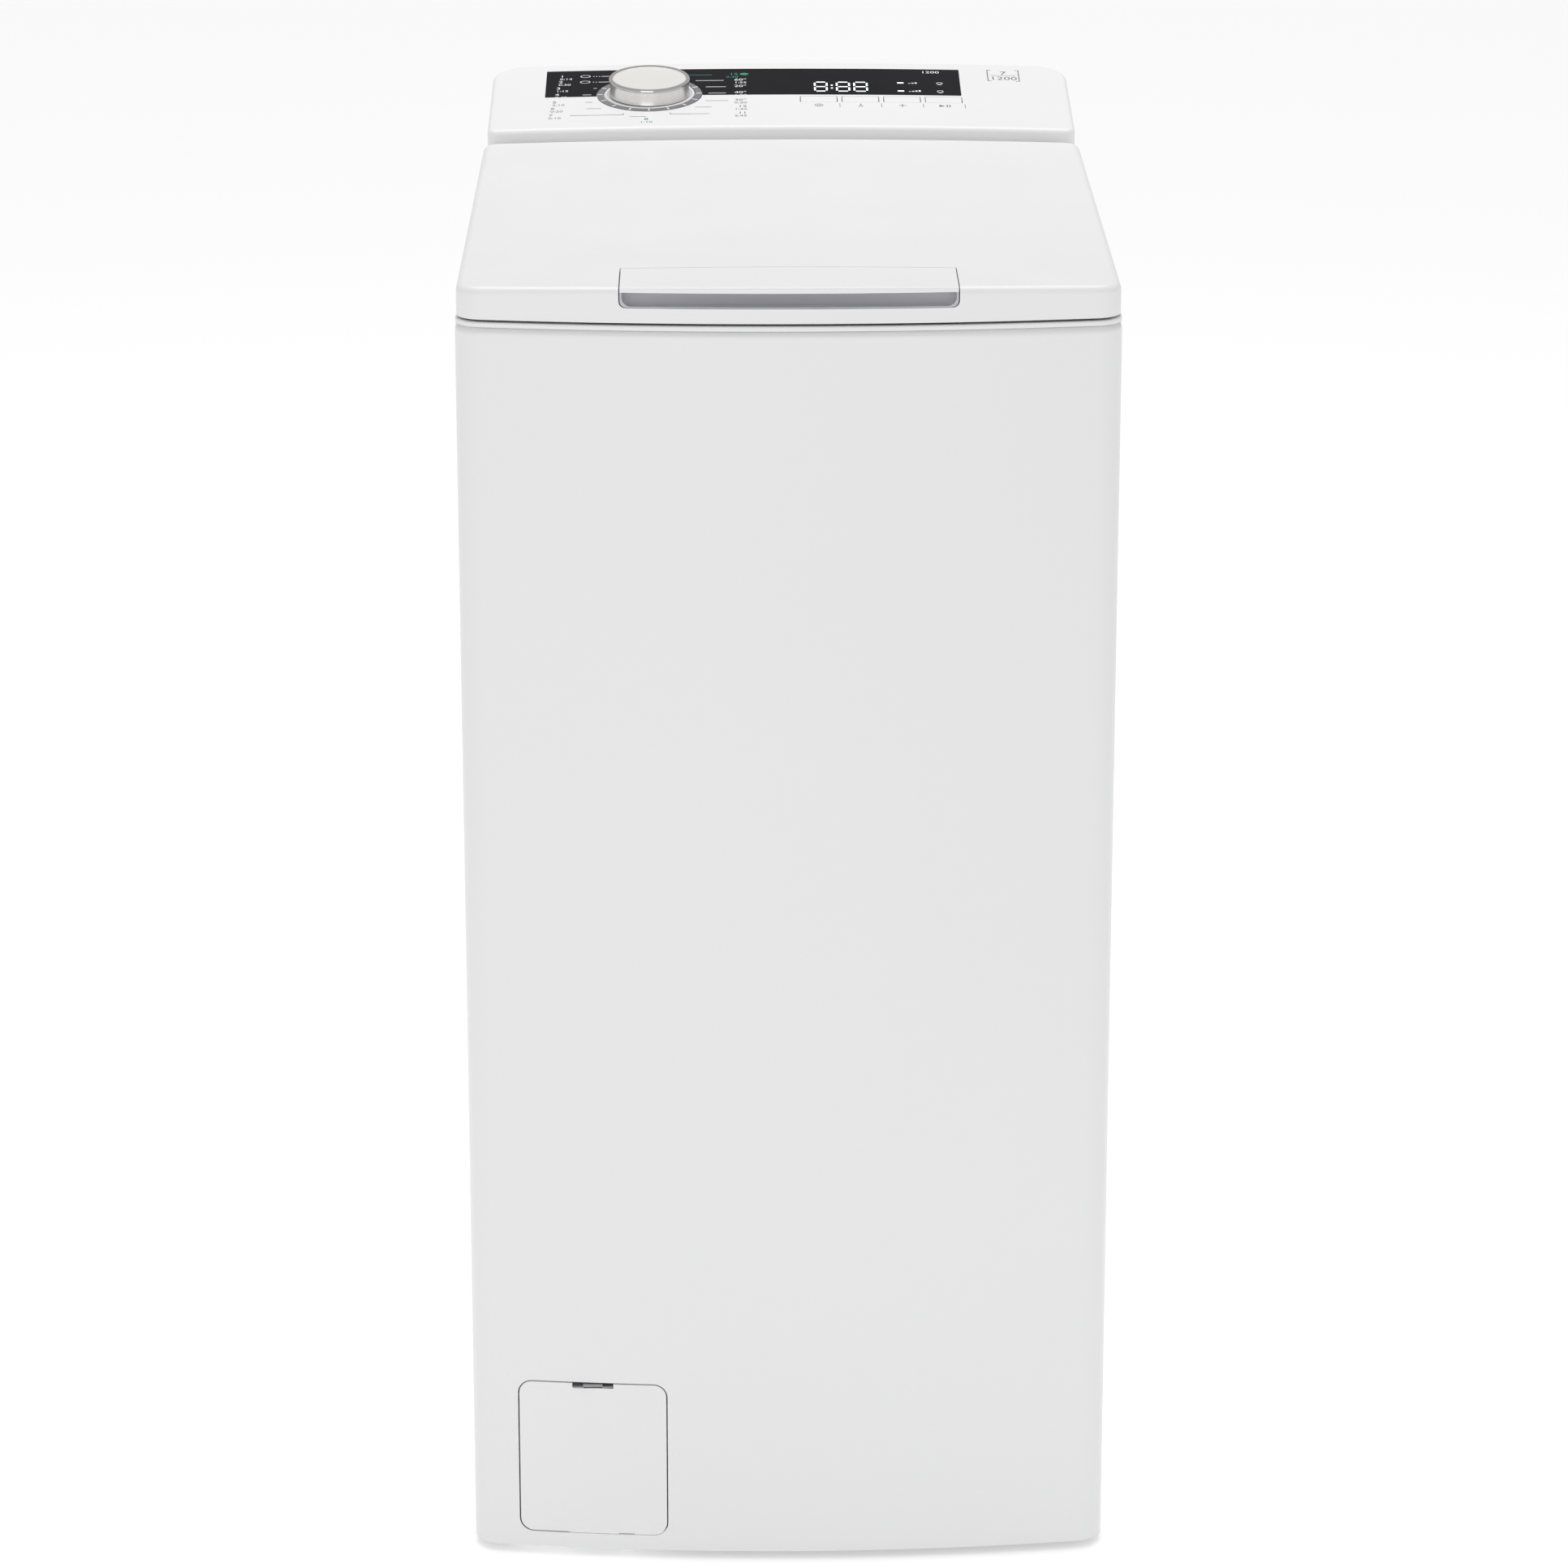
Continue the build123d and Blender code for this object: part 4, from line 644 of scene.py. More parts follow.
TUB = finish(
    "Tub plastic", (0.34, 0.38, 0.42), (0.45, 0.6), tone=(7.0, 0.1), grain=(500.0, 0.15),
    extra=edge_rub_and_highlight_extra((0.5, 0.53, 0.56), 0.3),
)
STEEL = finish(
    "Brushed stainless", (0.60, 0.60, 0.61), (0.24, 0.34), metallic=1.0, grain=(900.0, 0.06),
    extra=brushed_extra(0.2),
)
DRUM = finish(
    "Perforated stainless", (0.60, 0.60, 0.61), (0.2, 0.3), metallic=1.0, grain=(900.0, 0.12),
    extra=drum_extra,
)
ZINC = finish(
    "Zinc coated steel", (0.50, 0.51, 0.52), (0.32, 0.46), metallic=0.85, tone=(9.0, 0.12),
    grain=(700.0, 0.05), extra=spangle_extra,
)
RUBBER = finish(
    "Grey rubber", (0.16, 0.165, 0.17), (0.6, 0.75), tone=(14.0, 0.15), grain=(800.0, 0.2),
    extra=edge_rub_and_highlight_extra((0.3, 0.3, 0.3), 0.3),
)
DARK_RUBBER = finish(
    "Black rubber", (0.02, 0.02, 0.02), (0.55, 0.72), tone=(14.0, 0.25), grain=(800.0, 0.25),
    extra=rib_extra(90.0),
)
CONCRETE = finish(
    "Cast concrete", (0.42, 0.41, 0.38), (0.8, 0.95), tone=(22.0, 0.25), grain=(350.0, 0.5),
    extra=concrete_extra,
)
BOARD = finish(
    "Circuit board", (0.02, 0.13, 0.06), (0.3, 0.42), tone=(30.0, 0.1), grain=(600.0, 0.1),
    extra=trace_extra,
)
MOTOR = finish(
    "Motor case iron", (0.14, 0.14, 0.145), (0.4, 0.55), metallic=0.7, tone=(16.0, 0.25),
    grain=(500.0, 0.2), extra=edge_rub_and_highlight_extra((0.4, 0.4, 0.4), 0.5),
)
CAST = finish(
    "Cast aluminium", (0.62, 0.62, 0.63), (0.35, 0.5), metallic=1.0, tone=(18.0, 0.12),
    grain=(450.0, 0.15), extra=edge_rub_and_highlight_extra((0.8, 0.8, 0.8), 0.4),
)
# White print with a faint emission: a painted glow, the print itself is not lit.
GLOWING_WHITE_INK = finish(
    "White print with painted glow", (0.82, 0.82, 0.84), (0.4, 0.5), tone=(60.0, 0.08), grain=(4000.0, 0.05),
    Emission_Color=(1, 1, 1, 1), Emission_Strength=0.12,
)
GREY_INK = finish("Grey print", (0.17, 0.17, 0.18), (0.45, 0.55), tone=(60.0, 0.1), grain=(4000.0, 0.05))
GREEN_INK = finish("Green print", (0.015, 0.27, 0.16), (0.4, 0.5), tone=(60.0, 0.1), grain=(4000.0, 0.05))
LIGHT = finish(
    "Lit display", (0.85, 0.87, 0.9), (0.3, 0.4), tone=(80.0, 0.1), grain=(3000.0, 0.03),
    Emission_Color=(0.93, 0.97, 1.0, 1), Emission_Strength=1.1,
)

BY_SLOT = {
    "painted_steel": PAINT, "galvanised_steel": ZINC, "stainless_steel": STEEL, "white_plastic": SHELL,
    "white_inner_plastic": INNER, "black_gloss_plastic": GLASS, "black_plastic": BLACK, "grey_plastic": GREY,
    "knob_plastic": CAP, "tub_plastic": TUB, "rubber_grey": RUBBER, "rubber_black": DARK_RUBBER,
    "concrete": CONCRETE, "circuit_board": BOARD, "motor_steel": MOTOR, "aluminium_cast": CAST,
}


def dress_cad_nodes():
    """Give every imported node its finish."""
    for row in frame["record"]["subparts"]:
        node = frame["nodes"][row["node"]]
        shade = BY_SLOT[row["material_slot"]]
        if row["node"] in ("drum_shell", "drum_flap_front", "drum_flap_rear"):
            shade = DRUM
        node.data.materials.clear()
        node.data.materials.append(shade)


dress_cad_nodes()


# ------------------------------------------------------------------ front, lid and deck


def upright(bm):
    """Turn a shape drawn flat so that its Y runs up and its depth runs to the back."""
    bmesh.ops.rotate(bm, cent=(0, 0, 0), matrix=Matrix.Rotation(math.radians(90), 3, "X"), verts=bm.verts)
    return bm


def door_prism(gap, radius):
    """Rounded prism through the front, at the filter door."""
    bm = bmesh.new()
    x = (DOOR_X[0] + gap, DOOR_X[1] - gap)
    z = (DOOR_Z[0] + gap, DOOR_Z[1] - gap)
    raised(bm, rectangle(bm, x, z, [radius] * 4, steps=10), 60)
    upright(bm)
    bmesh.ops.translate(bm, vec=(0, -255, 0), verts=bm.verts)
    return bm


def front_panel():
    """Bowed front sheet, rolled at the top, with the opening for the filter door."""
    bm = bmesh.new()
    top = raised(bm, bowed_face(bm, 0, SEAM_Y, PANEL_Z[0], steps=96), PANEL_Z[1] - PANEL_Z[0])
    rear = [f for f in bm.faces if all(abs(v.co.y - SEAM_Y) < 0.01 for v in f.verts)]
    rounded(bm, [e for e in top.edges if not all(f in rear for f in e.link_faces if f is not top)], 5, 7)
    open_faces = [
        f for f in bm.faces
        if all(abs(v.co.y - SEAM_Y) < 0.01 for v in f.verts) or f.normal.z < -0.99
    ]
    flange = [f for f in bm.faces if f.normal.z > 0.999]
    bmesh.ops.delete(bm, geom=open_faces, context="FACES")
    bmesh.ops.inset_region(bm, faces=flange, thickness=10, use_even_offset=True)
    bmesh.ops.delete(bm, geom=flange, context="FACES")
    panel = made_object("front_skin", bm, PAINT)
    walled(panel, SHEET)
    cut(panel, door_prism(0, DOOR_RADIUS), PAINT)
    finished(panel, "cabinet", "painted_steel", "front_panel")


def filter_door():
    """Filter door that follows the bow, softened all round, with its finger tab; its notch carries painted
    shade in black and grey.
    """
    bm = bmesh.new()
    raised(bm, bowed_face(bm, 0, SEAM_Y, 0, steps=96), 200)
    door = made_object("filter_door_skin", bm, SHELL)
    cut(door, door_prism(0.75, DOOR_RADIUS - 0.75), SHELL, "INTERSECT")
    hollow = bmesh.new()
    raised(hollow, bowed_face(hollow, 2.4, SEAM_Y + 20, -10, steps=96), 220)
    cut(door, hollow, SHELL)
    notch = bmesh.new()
    block(notch, (-136.4, -110.8), (-310, -270), (DOOR_Z[1] - 3.6, DOOR_Z[1] + 4))
    # the notch's cut walls take the black finish: painted shade inside the notch
    cut(door, notch, BLACK)
    for x in (-145, -103):
        hook = bmesh.new()
        skin = -300 + (x + 5) ** 2 / 2500 + 1.6
        block(hook, (x - 5, x + 5), (skin, -286.5), (DOOR_Z[0] + 1.5, DOOR_Z[0] + 9))
        block(hook, (x - 5, x + 5), (-289.5, -286.5), (8, DOOR_Z[0] + 9))
        rounded(hook, hook.edges[:], 0.5, 2)
        name = "filter_door_hook_" + ("left" if x < -120 else "right")
        finished(made_object(name, hook, SHELL), "service_door", "white_plastic")
    soft = door.modifiers.new("Soft", "BEVEL")
    soft.width = 0.35
    soft.segments = 2
    soft.angle_limit = math.radians(50)
    finished(settled(door), "service_door", "white_plastic", "filter_door")
    # The tab's grey finish is painted shade standing for the ramped shading in the notch.
    tab = bmesh.new()
    for x, gap in (((-136.2, -111.0), 2.5), ((-129.8, -117.4), 1.0)):
        block(tab, x, (-294.6, -290.6), (DOOR_Z[1] - 3.5, DOOR_Z[1] - gap))
    rounded(tab, tab.edges[:], 0.25, 2)
    finished(made_object("filter_door_tab", tab, GREY), "service_door", "grey_plastic")
    # Black block behind the tab's slots: painted shade for the dark openings.
    slot_shade_block = bmesh.new()
    block(slot_shade_block, (-136.2, -111.0), (-291.2, -290.2), (DOOR_Z[1] - 3.5, DOOR_Z[1] - 0.9))
    finished(made_object("filter_door_slot_painted_shade", slot_shade_block, BLACK), "service_door", "grey_plastic")


def deck_edge():
    """Rounded edge band of the top frame under the lid."""
    bm = bmesh.new()
    top = raised(bm, bowed_face(bm, 0.25, REAR_Y, DECK_Z[0], steps=96), DECK_Z[1] - DECK_Z[0])
    rounded(bm, top.edges[:], 1.2, 4)
    geom = bm.verts[:] + bm.edges[:] + bm.faces[:]
    bmesh.ops.bisect_plane(
        bm, geom=geom, dist=0.0005, plane_co=(0, 120, 0), plane_no=(0, 1, 0), clear_outer=True,
    )
    caps = [f for f in bm.faces if abs(f.normal.z) > 0.99]
    rear = [f for f in bm.faces if all(v.co.y > 119.9 for v in f.verts)]
    bmesh.ops.inset_region(bm, faces=caps, thickness=4, use_even_offset=True)
    bmesh.ops.delete(bm, geom=list(set(caps + rear)), context="FACES")
    band = walled(made_object("deck_edge", bm, SHELL), 0.6)
    finished(band, "cabinet", "white_plastic")


def lid_block(inset, bottom, edge, top=LID_TOP):
    """Closed lid form with its rim rounded and its top crowned."""
    bm = bmesh.new()
    rear = LID_REAR_Y - inset + LID_INSET
    face = raised(bm, bowed_face(bm, inset, rear, bottom, 12 - inset, steps=96), top - bottom)
    rounded(bm, face.edges[:], edge, 7)
    strips(bm, -190, 190, 10)
    for vert in bm.verts:
        if vert.co.z > top - edge - 0.01:
            vert.co.z -= crown_drop(vert.co.x)
    return bm


def handle_block(grow, floor):
    """Block that frames the handle, rounded at its rear and lower corners."""
    bm = bmesh.new()
    half = HANDLE_X + grow
    y = (-330.0, HANDLE_REAR_Y + grow)
    raised(bm, rectangle(bm, (-half, half), (floor, 850), [4, 4, 0, 0], steps=8), y[1] - y[0])
    upright(bm)
    bmesh.ops.translate(bm, vec=(0, y[1], 0), verts=bm.verts)
    return bm


def lid():
    """Lid skin with its handle opening and hinge notches, the handle plate and its grey recess."""
    bm = lid_block(LID_INSET, SKIRT_Z, 4.5)
    base = [f for f in bm.faces if f.normal.z < -0.99]
    bmesh.ops.delete(bm, geom=base, context="FACES")
    skin = walled(made_object("lid_skin", bm, SHELL), LID_WALL)
    cut(skin, handle_block(0.45, RECESS_Z), SHELL)
    for side in (-1, 1):
        notch = bmesh.new()
        x = side * HINGE_X
        block(notch, (x - 3.7, x + 3.7), (HINGE[0] - 9, 170), (790, HINGE[1] + 4.6))
        cut(skin, notch, SHELL)
        for at in (x - 6.5, x + 6.5):
            boss = bmesh.new()
            y = (HINGE[0] - 5, HINGE[0] + 5)
            z = (HINGE[1] - 5, 820)
            raised(boss, rectangle(boss, y, z, [4.9, 4.9, 0, 0], steps=8), 5.6)
            across = Matrix(((0, 0, 1, at - 2.8), (1, 0, 0, 0), (0, 1, 0, 0), (0, 0, 0, 1)))
            bmesh.ops.transform(boss, matrix=across, verts=boss.verts)
            name = f"lid_boss_{'left' if side < 0 else 'right'}_{'a' if at < x else 'b'}"
            finished(made_object(name, boss, SHELL), "lid", "white_plastic")
    finished(skin, "lid", "white_plastic", "lid_shell")

    plate = made_object("handle_plate", lid_block(LID_INSET, SKIRT_Z, 1.2), SHELL)
    cut(plate, handle_block(-0.2, RECESS_Z + 0.2), SHELL, "INTERSECT")
    under = bmesh.new()
    block(under, (-150, 150), (-330, -200), (780, LIP_Z))
    cut(plate, under, SHELL)
    soft = plate.modifiers.new("Soft", "BEVEL")
    soft.width = 0.5
    soft.segments = 3
    soft.angle_limit = math.radians(40)
    finished(settled(plate), "lid", "white_plastic", "lid_handle")

    cup = made_object("handle_recess", lid_block(LID_INSET + 0.3, SKIRT_Z, 1.2), RECESS)
    cut(cup, handle_block(-0.2, RECESS_Z + 0.2), RECESS, "INTERSECT")
    over = bmesh.new()
    block(over, (-150, 150), (-330, -200), (LIP_Z, 900))
    cut(cup, over, RECESS)
    scoop = bmesh.new()
    x = (-HANDLE_X + 1.4, HANDLE_X - 1.4)
    raised(scoop, rectangle(scoop, x, (-340, -286), [0, 0, 6, 6], steps=8), 40)
    bmesh.ops.translate(scoop, vec=(0, 0, RECESS_Z + 0.9), verts=scoop.verts)
    floor = [
        e for e in scoop.edges
        if all(v.co.z < RECESS_Z + 1 for v in e.verts) and any(v.co.y > -339 for v in e.verts)
    ]
    rounded(scoop, floor, 5.5, 8)
    cut(cup, scoop, RECESS)
    finished(cup, "lid", "grey_plastic")


front_panel()
filter_door()
deck_edge()
lid()


# ------------------------------------------------------------------ console


def key_span(index):
    """X limits of a key opening."""
    left = KEY_LEFT + index * KEY_PITCH
    return left, left + KEY_WIDTH


def console_shell():
    """Sloping console with rounded rim, crowned top and key openings."""
    bm = bmesh.new()
    high = 900.0
    face = rectangle(
        bm, (-CONSOLE_X, CONSOLE_X), (CONSOLE_FRONT_Y, CONSOLE_REAR_Y), [6, 6, 24, 24], DECK_Z[1],
        steps=12,
    )
    top = raised(bm, face, high - DECK_Z[1])
    rounded(bm, top.edges[:], 3, 5)
    strips(bm, -185, 185, 10)
    for vert in bm.verts:
        if vert.co.z > high - 3.01:
            rise = (vert.co.y - CONSOLE_FRONT_Y) * math.tan(SLOPE)
            vert.co.z += CONSOLE_FRONT_TOP + rise - crown_drop(vert.co.x) / math.cos(SLOPE) - high
    bmesh.ops.delete(bm, geom=[f for f in bm.faces if f.normal.z < -0.99], context="FACES")
    shell = walled(made_object("console_shell", bm, SHELL), 2.5)
    for index in range(4):
        hole = bmesh.new()
        raised(hole, rectangle(hole, key_span(index), KEY_V, [1.2] * 4), 30)
        bmesh.ops.translate(hole, vec=(0, 0, -20), verts=hole.verts)
        cut(shell, onto_slope(hole, False), SHELL)
    groove = lathe([(28.6, -1.0), (36.0, -1.0), (36.0, 8.0), (28.6, 8.0), (28.6, -1.0)])
    bmesh.ops.translate(groove, vec=(*KNOB, -crown_drop(KNOB[0])), verts=groove.verts)
    cut(shell, onto_slope(groove, False), SHELL)
    vent = bmesh.new()
    block(vent, (-20, 140), (REAR_Y - 4, 310), (DECK_Z[1] - 1, DECK_Z[1] + 6))
    cut(shell, vent, SHELL)
    finished(shell, "cabinet", "white_plastic", "console_housing")


def fascia():
    """Glossy fascia plate, notched round the dial."""
    bm = bmesh.new()
    raised(bm, rectangle(bm, FASCIA_X, FASCIA_V, [0.6] * 4), 0.7)
    bmesh.ops.translate(bm, vec=(0, 0, -0.6), verts=bm.verts)
    plate = made_object("fascia_plate", bm, GLASS)
    notch = lathe([(0, -5), (36.0, -5), (36.0, 5), (0, 5)])
    bmesh.ops.translate(notch, vec=(*KNOB, 0), verts=notch.verts)
    cut(plate, notch, GLASS)
    bm = bmesh.new()
    bm.from_mesh(plate.data)
    strips(bm, -155, 120, 5)
    onto_slope(bm)
    bm.to_mesh(plate.data)
    bm.free()
    finished(plate, "cabinet", "black_gloss_plastic", "console_fascia")


def at_knob(bm, bend=True):
    """Carry a turned shape to the knob's place; a bent one follows the crown."""
    bmesh.ops.translate(bm, vec=(*KNOB, 0), verts=bm.verts)
    if not bend:
        bmesh.ops.translate(bm, vec=(0, 0, -crown_drop(KNOB[0])), verts=bm.verts)
    return onto_slope(bm, bend)


def dial():
    """Dial ring with its ticks, the white seat inside it, and the knob."""
    ring = lathe(
        [(31.2, -1.0), (35.6, -1.0), (35.6, 0.15), (35.4, 0.35), (31.4, 0.35), (31.2, 0.15), (31.2, -1.0)],
    )
    finished(made_object("dial_band", at_knob(ring), DIAL), "cabinet", "grey_plastic", "dial_ring")
    seat = lathe(
        [(28.4, -1.2), (30.6, -1.2), (30.6, 0.3), (30.3, 0.6), (28.9, 0.6), (28.4, 0.2), (28.4, -1.2)],
    )
    finished(made_object("dial_seat", at_knob(seat), SHELL), "cabinet", "white_plastic")
    ticks = bmesh.new()
    for index in range(16):
        made = block(ticks, (31.6, 35.3), (-0.45, 0.45), (0.2, 0.42))
        turn = Matrix.Rotation(math.radians(22.5 * index), 3, "Z")
        bmesh.ops.rotate(ticks, cent=(0, 0, 0), matrix=turn, verts=made)
    finished(made_object("dial_ticks", at_knob(ticks), GLOWING_WHITE_INK), "cabinet", "white_plastic", weighted=False)
    cap = lathe([(0, 10.4), (24.9, 10.4), (24.9, 11.1), (24.4, 11.25), (0, 11.0)])
    finished(made_object("knob_cap", at_knob(cap, False), CAP), "knob", "knob_plastic", "program_knob")
    rim = lathe([
        (24.9, 9.6), (24.9, 11.5), (25.3, 11.95), (26.2, 12.0), (27.0, 11.75), (27.45, 11.1), (27.5, 10.2),
        (27.2, 9.8), (27.0, 9.6), (24.9, 9.6),
    ])
    finished(made_object("knob_rim", at_knob(rim, False), CHROME), "knob", "knob_plastic")
    skirt = lathe([
        (0, 0.8), (0, 10.4), (24.9, 10.4), (26.7, 10.0), (26.9, 9.4), (26.75, 6.0), (26.9, 3.2), (27.5, 1.6),
        (27.6, 1.0), (27.3, 0.8), (0, 0.8),
    ])
    finished(made_object("knob_skirt", at_knob(skirt, False), SKIRT), "knob", "knob_plastic")
    shaft = lathe([(0, -8.5), (2.7, -8.5), (3.0, -8.2), (3.0, 0.9), (0, 0.9)], 32)
    finished(made_object("knob_shaft", at_knob(shaft, False), GREY), "knob", "knob_plastic")


def keys():
    """Four push keys, softly domed at their rims."""
    for index in range(4):
        low, high = key_span(index)
        bm = bmesh.new()
        top = raised(
            bm, rectangle(bm, (low + 0.5, high - 0.5), (KEY_V[0] + 0.5, KEY_V[1] - 0.5), [0.9] * 4),
            4.6,
        )
        rounded(bm, top.edges[:], 0.45, 3)
        bmesh.ops.translate(bm, vec=(0, 0, -4.5), verts=bm.verts)
        middle = (low + high) / 2
        block(bm, (middle - 3, middle + 3), (53.25, 59.25), (-8.0 if index < 3 else -7.2, -4.5))
        onto_slope(bm)
        finished(
            made_object(f"key_cap_{index + 1}", bm, SHELL), "key_" + "abcd"[index], "white_plastic",
            f"key_{index + 1}",
        )


def bar(bm, x, v, w):
    """Thin printed bar between X and slope limits."""
    block(bm, (min(x), max(x)), (min(v), max(v)), w)


def numeral(bm, text, x, v, size, w, align="LEFT"):
    """Printed figures, made from the built-in font."""
    curve = bpy.data.curves.new("figures", "FONT")
    curve.body = text
    curve.size = size
    curve.align_x = align
    curve.resolution_u = 3
    curve.extrude = 0.02
    obj = bpy.data.objects.new("figures", curve)
    bpy.context.scene.collection.objects.link(obj)
    bpy.context.view_layer.update()
    mesh = bpy.data.meshes.new_from_object(obj)
    mesh.transform(Matrix.Translation((x, v, w)))
    bm.from_mesh(mesh)
    bpy.data.objects.remove(obj)
    bpy.data.curves.remove(curve)
    bpy.data.meshes.remove(mesh)


def circle_line(bm, x, v, radius, width, w, stretch=1.0, steps=32):
    """Thin printed ring."""
    ring = lathe(
        [(radius - width, 0), (radius, 0), (radius, 0.04), (radius - width, 0.04), (radius - width, 0)],
        steps,
    )
    bmesh.ops.scale(ring, vec=(stretch, 1, 1), verts=ring.verts)
    bmesh.ops.translate(ring, vec=(x, v, w), verts=ring.verts)
    mesh = bpy.data.meshes.new("ring")
    ring.to_mesh(mesh)
    ring.free()
    bm.from_mesh(mesh)
    bpy.data.meshes.remove(mesh)


ON_FASCIA = 0.12
ON_SHELL = 0.02

LEFT_LEGENDS = (
    (107.6, -122.4, -111.6, -150.8, "1", "0:14"),
    (95.6, -123.4, -116.8, -151.5, "2", "0:30"),
    (82.3, -127.3, -125.1, -152.8, "3", "1:15"),
    (69.0, -134.5, -128.6, -153.4, "4", "0:45"),
    (53.5, -132.3, -127.5, -154.8, "5", "2:10"),
    (40.3, -131.2, -121.4, -155.7, "6", "0:20"),
    (26.5, -142.1, -106.3, -156.7, "7", "0:10"),
)
RIGHT_LEGENDS = (
    (107.6, -64.5, -46.8, -28.5, "15", "2:30"),
    (95.6, -57.7, -38.6, -22.8, "60°", "1:55"),
    (82.3, -50.8, -37.0, -22.8, "20°", ""),
    (69.0, -48.8, -37.0, -22.8, "40°", "1:20"),
    (53.5, -51.0, -35.7, -22.8, "30°", "0:50"),
    (40.3, -57.9, -46.8, -22.8, "12", "1:40"),
    (26.5, -74.6, -48.1, -22.8, "11", "2:45"),
)


def legends():
    """Printed leaders and figures round the dial, in white on the fascia and grey on the shell."""
    white, grey, green = bmesh.new(), bmesh.new(), bmesh.new()
    for side, rows in ((-1, LEFT_LEGENDS), (1, RIGHT_LEGENDS)):
        for number, (v, x0, x1, label, figures, small) in enumerate(rows):
            on_glass = v > 66
            ink = white if on_glass else grey
            if side > 0 and number == 0:
                ink = green
            w = ON_FASCIA if on_glass else ON_SHELL
            bar(ink, (x0, x1), (v - 0.35, v + 0.35), (w, w + 0.04))
            align = "LEFT" if side < 0 else "RIGHT"
            numeral(ink, figures, label, v - 0.6, 6.2, w + 0.02, align)
            if small:
                numeral(ink, small, label, v - 6.2, 5.0, w + 0.02, align)
            if number == 6:
                end = x1 if side < 0 else x0
                bar(ink, (end - 0.3, end + 0.3), (v, v + 2.6), (w, w + 0.04))
            if side < 0 and number < 2:
                circle_line(white, -133.3, v + 0.5, 2.6, 0.45, ON_FASCIA, 1.35)
                for dot in range(3):
                    at = -128.0 + 1.9 * dot
                    bar(white, (at, at + 0.9), (v - 0.35, v + 0.35), (ON_FASCIA, ON_FASCIA + 0.04))
    bar(green, (-101.8, -90.7), (21.9, 22.6), (ON_SHELL, ON_SHELL + 0.04))
    numeral(green, "8", -90.7, 14.8, 6.2, ON_SHELL + 0.02, "CENTER")
    numeral(green, "1:10", -90.7, 9.4, 5.0, ON_SHELL + 0.02, "CENTER")
    circle_line(green, -24.6, 109.0, 2.4, 2.39, ON_FASCIA, 1.25)
    key_marks(grey)
    emblem(grey)
    display_marks(white)
    prints = (
        ("legend_white", white, GLOWING_WHITE_INK),
        ("legend_grey", grey, GREY_INK),
        ("legend_green", green, GREEN_INK),
    )
    for name, ink, shade in prints:
        bmesh.ops.triangulate(ink, faces=[f for f in ink.faces if len(f.verts) > 4])
        finished(made_object(name, onto_slope(ink), shade), "cabinet", None, weighted=False)


def key_marks(ink):
    """Plain symbols under the keys: a spiral ring, a bulb, a plus and a start mark."""
    w = (ON_SHELL, ON_SHELL + 0.04)
    v = 43.5
    for index in range(4):
        low, high = key_span(index)
        bar(ink, (high + 1.2, high + 1.6), (39.5, 47.5), w)
        middle = (low + high) / 2
        if index == 0:
            circle_line(ink, middle, v, 2.9, 0.5, ON_SHELL)
            circle_line(ink, middle, v, 1.4, 0.5, ON_SHELL)
        if index == 1:
            circle_line(ink, middle, v - 1.6, 1.5, 0.5, ON_SHELL)
            bar(ink, (middle - 0.35, middle + 0.35), (v - 0.2, v + 3.2), w)
        if index == 2:
            bar(ink, (middle - 2.6, middle + 2.6), (v - 0.35, v + 0.35), w)
            bar(ink, (middle - 0.35, middle + 0.35), (v - 2.6, v + 2.6), w)
        if index == 3:
            made = bmesh.ops.create_circle(ink, segments=3, radius=2.6, cap_ends=True)
            tip = Matrix.Rotation(math.radians(-90), 3, "Z")
            bmesh.ops.rotate(ink, cent=(0, 0, 0), matrix=tip, verts=made["verts"])
            bmesh.ops.translate(ink, vec=(middle - 2, v, w[1]), verts=made["verts"])
            for at in (1.6, 3.4):
                bar(ink, (middle + at, middle + at + 0.8), (v - 2.4, v + 2.4), w)


def emblem(ink):
    """Bracketed load and speed figures."""
    w = (ON_SHELL, ON_SHELL + 0.04)
    for x, inward in ((142.6, 1), (164.0, -1)):
        bar(ink, (x - 0.35, x + 0.35), (98.0, 121.5), w)
        for v in (98.3, 121.2):
            bar(ink, (x, x + inward * 2.4), (v - 0.35, v + 0.35), w)
    bar(ink, (144.6, 162.0), (109.6, 110.1), w)
    numeral(ink, "7", 153.3, 111.8, 9.5, ON_SHELL + 0.02, "CENTER")
    numeral(ink, "1200", 153.3, 100.8, 9.5, ON_SHELL + 0.02, "CENTER")


def display_marks(ink):
    """Small printed marks beside the display's lamps."""
    w = (ON_FASCIA, ON_FASCIA + 0.04)
    for v, size in ((90.7, 3), (73.6, 4)):
        for step in range(size):
            bar(ink, (87.5 + 2.2 * step, 89.0 + 2.2 * step), (v - 1.2, v - 1.2 + 0.8 * (step + 1)), w)
        circle_line(ink, 108.9, v, 2.0, 0.45, ON_FASCIA, 1.1)
        bar(ink, (107.6, 110.2), (v - 3.4, v - 2.8), w)
    numeral(ink, "1200", 109.5, 112.0, 6.4, ON_FASCIA + 0.02, "RIGHT")


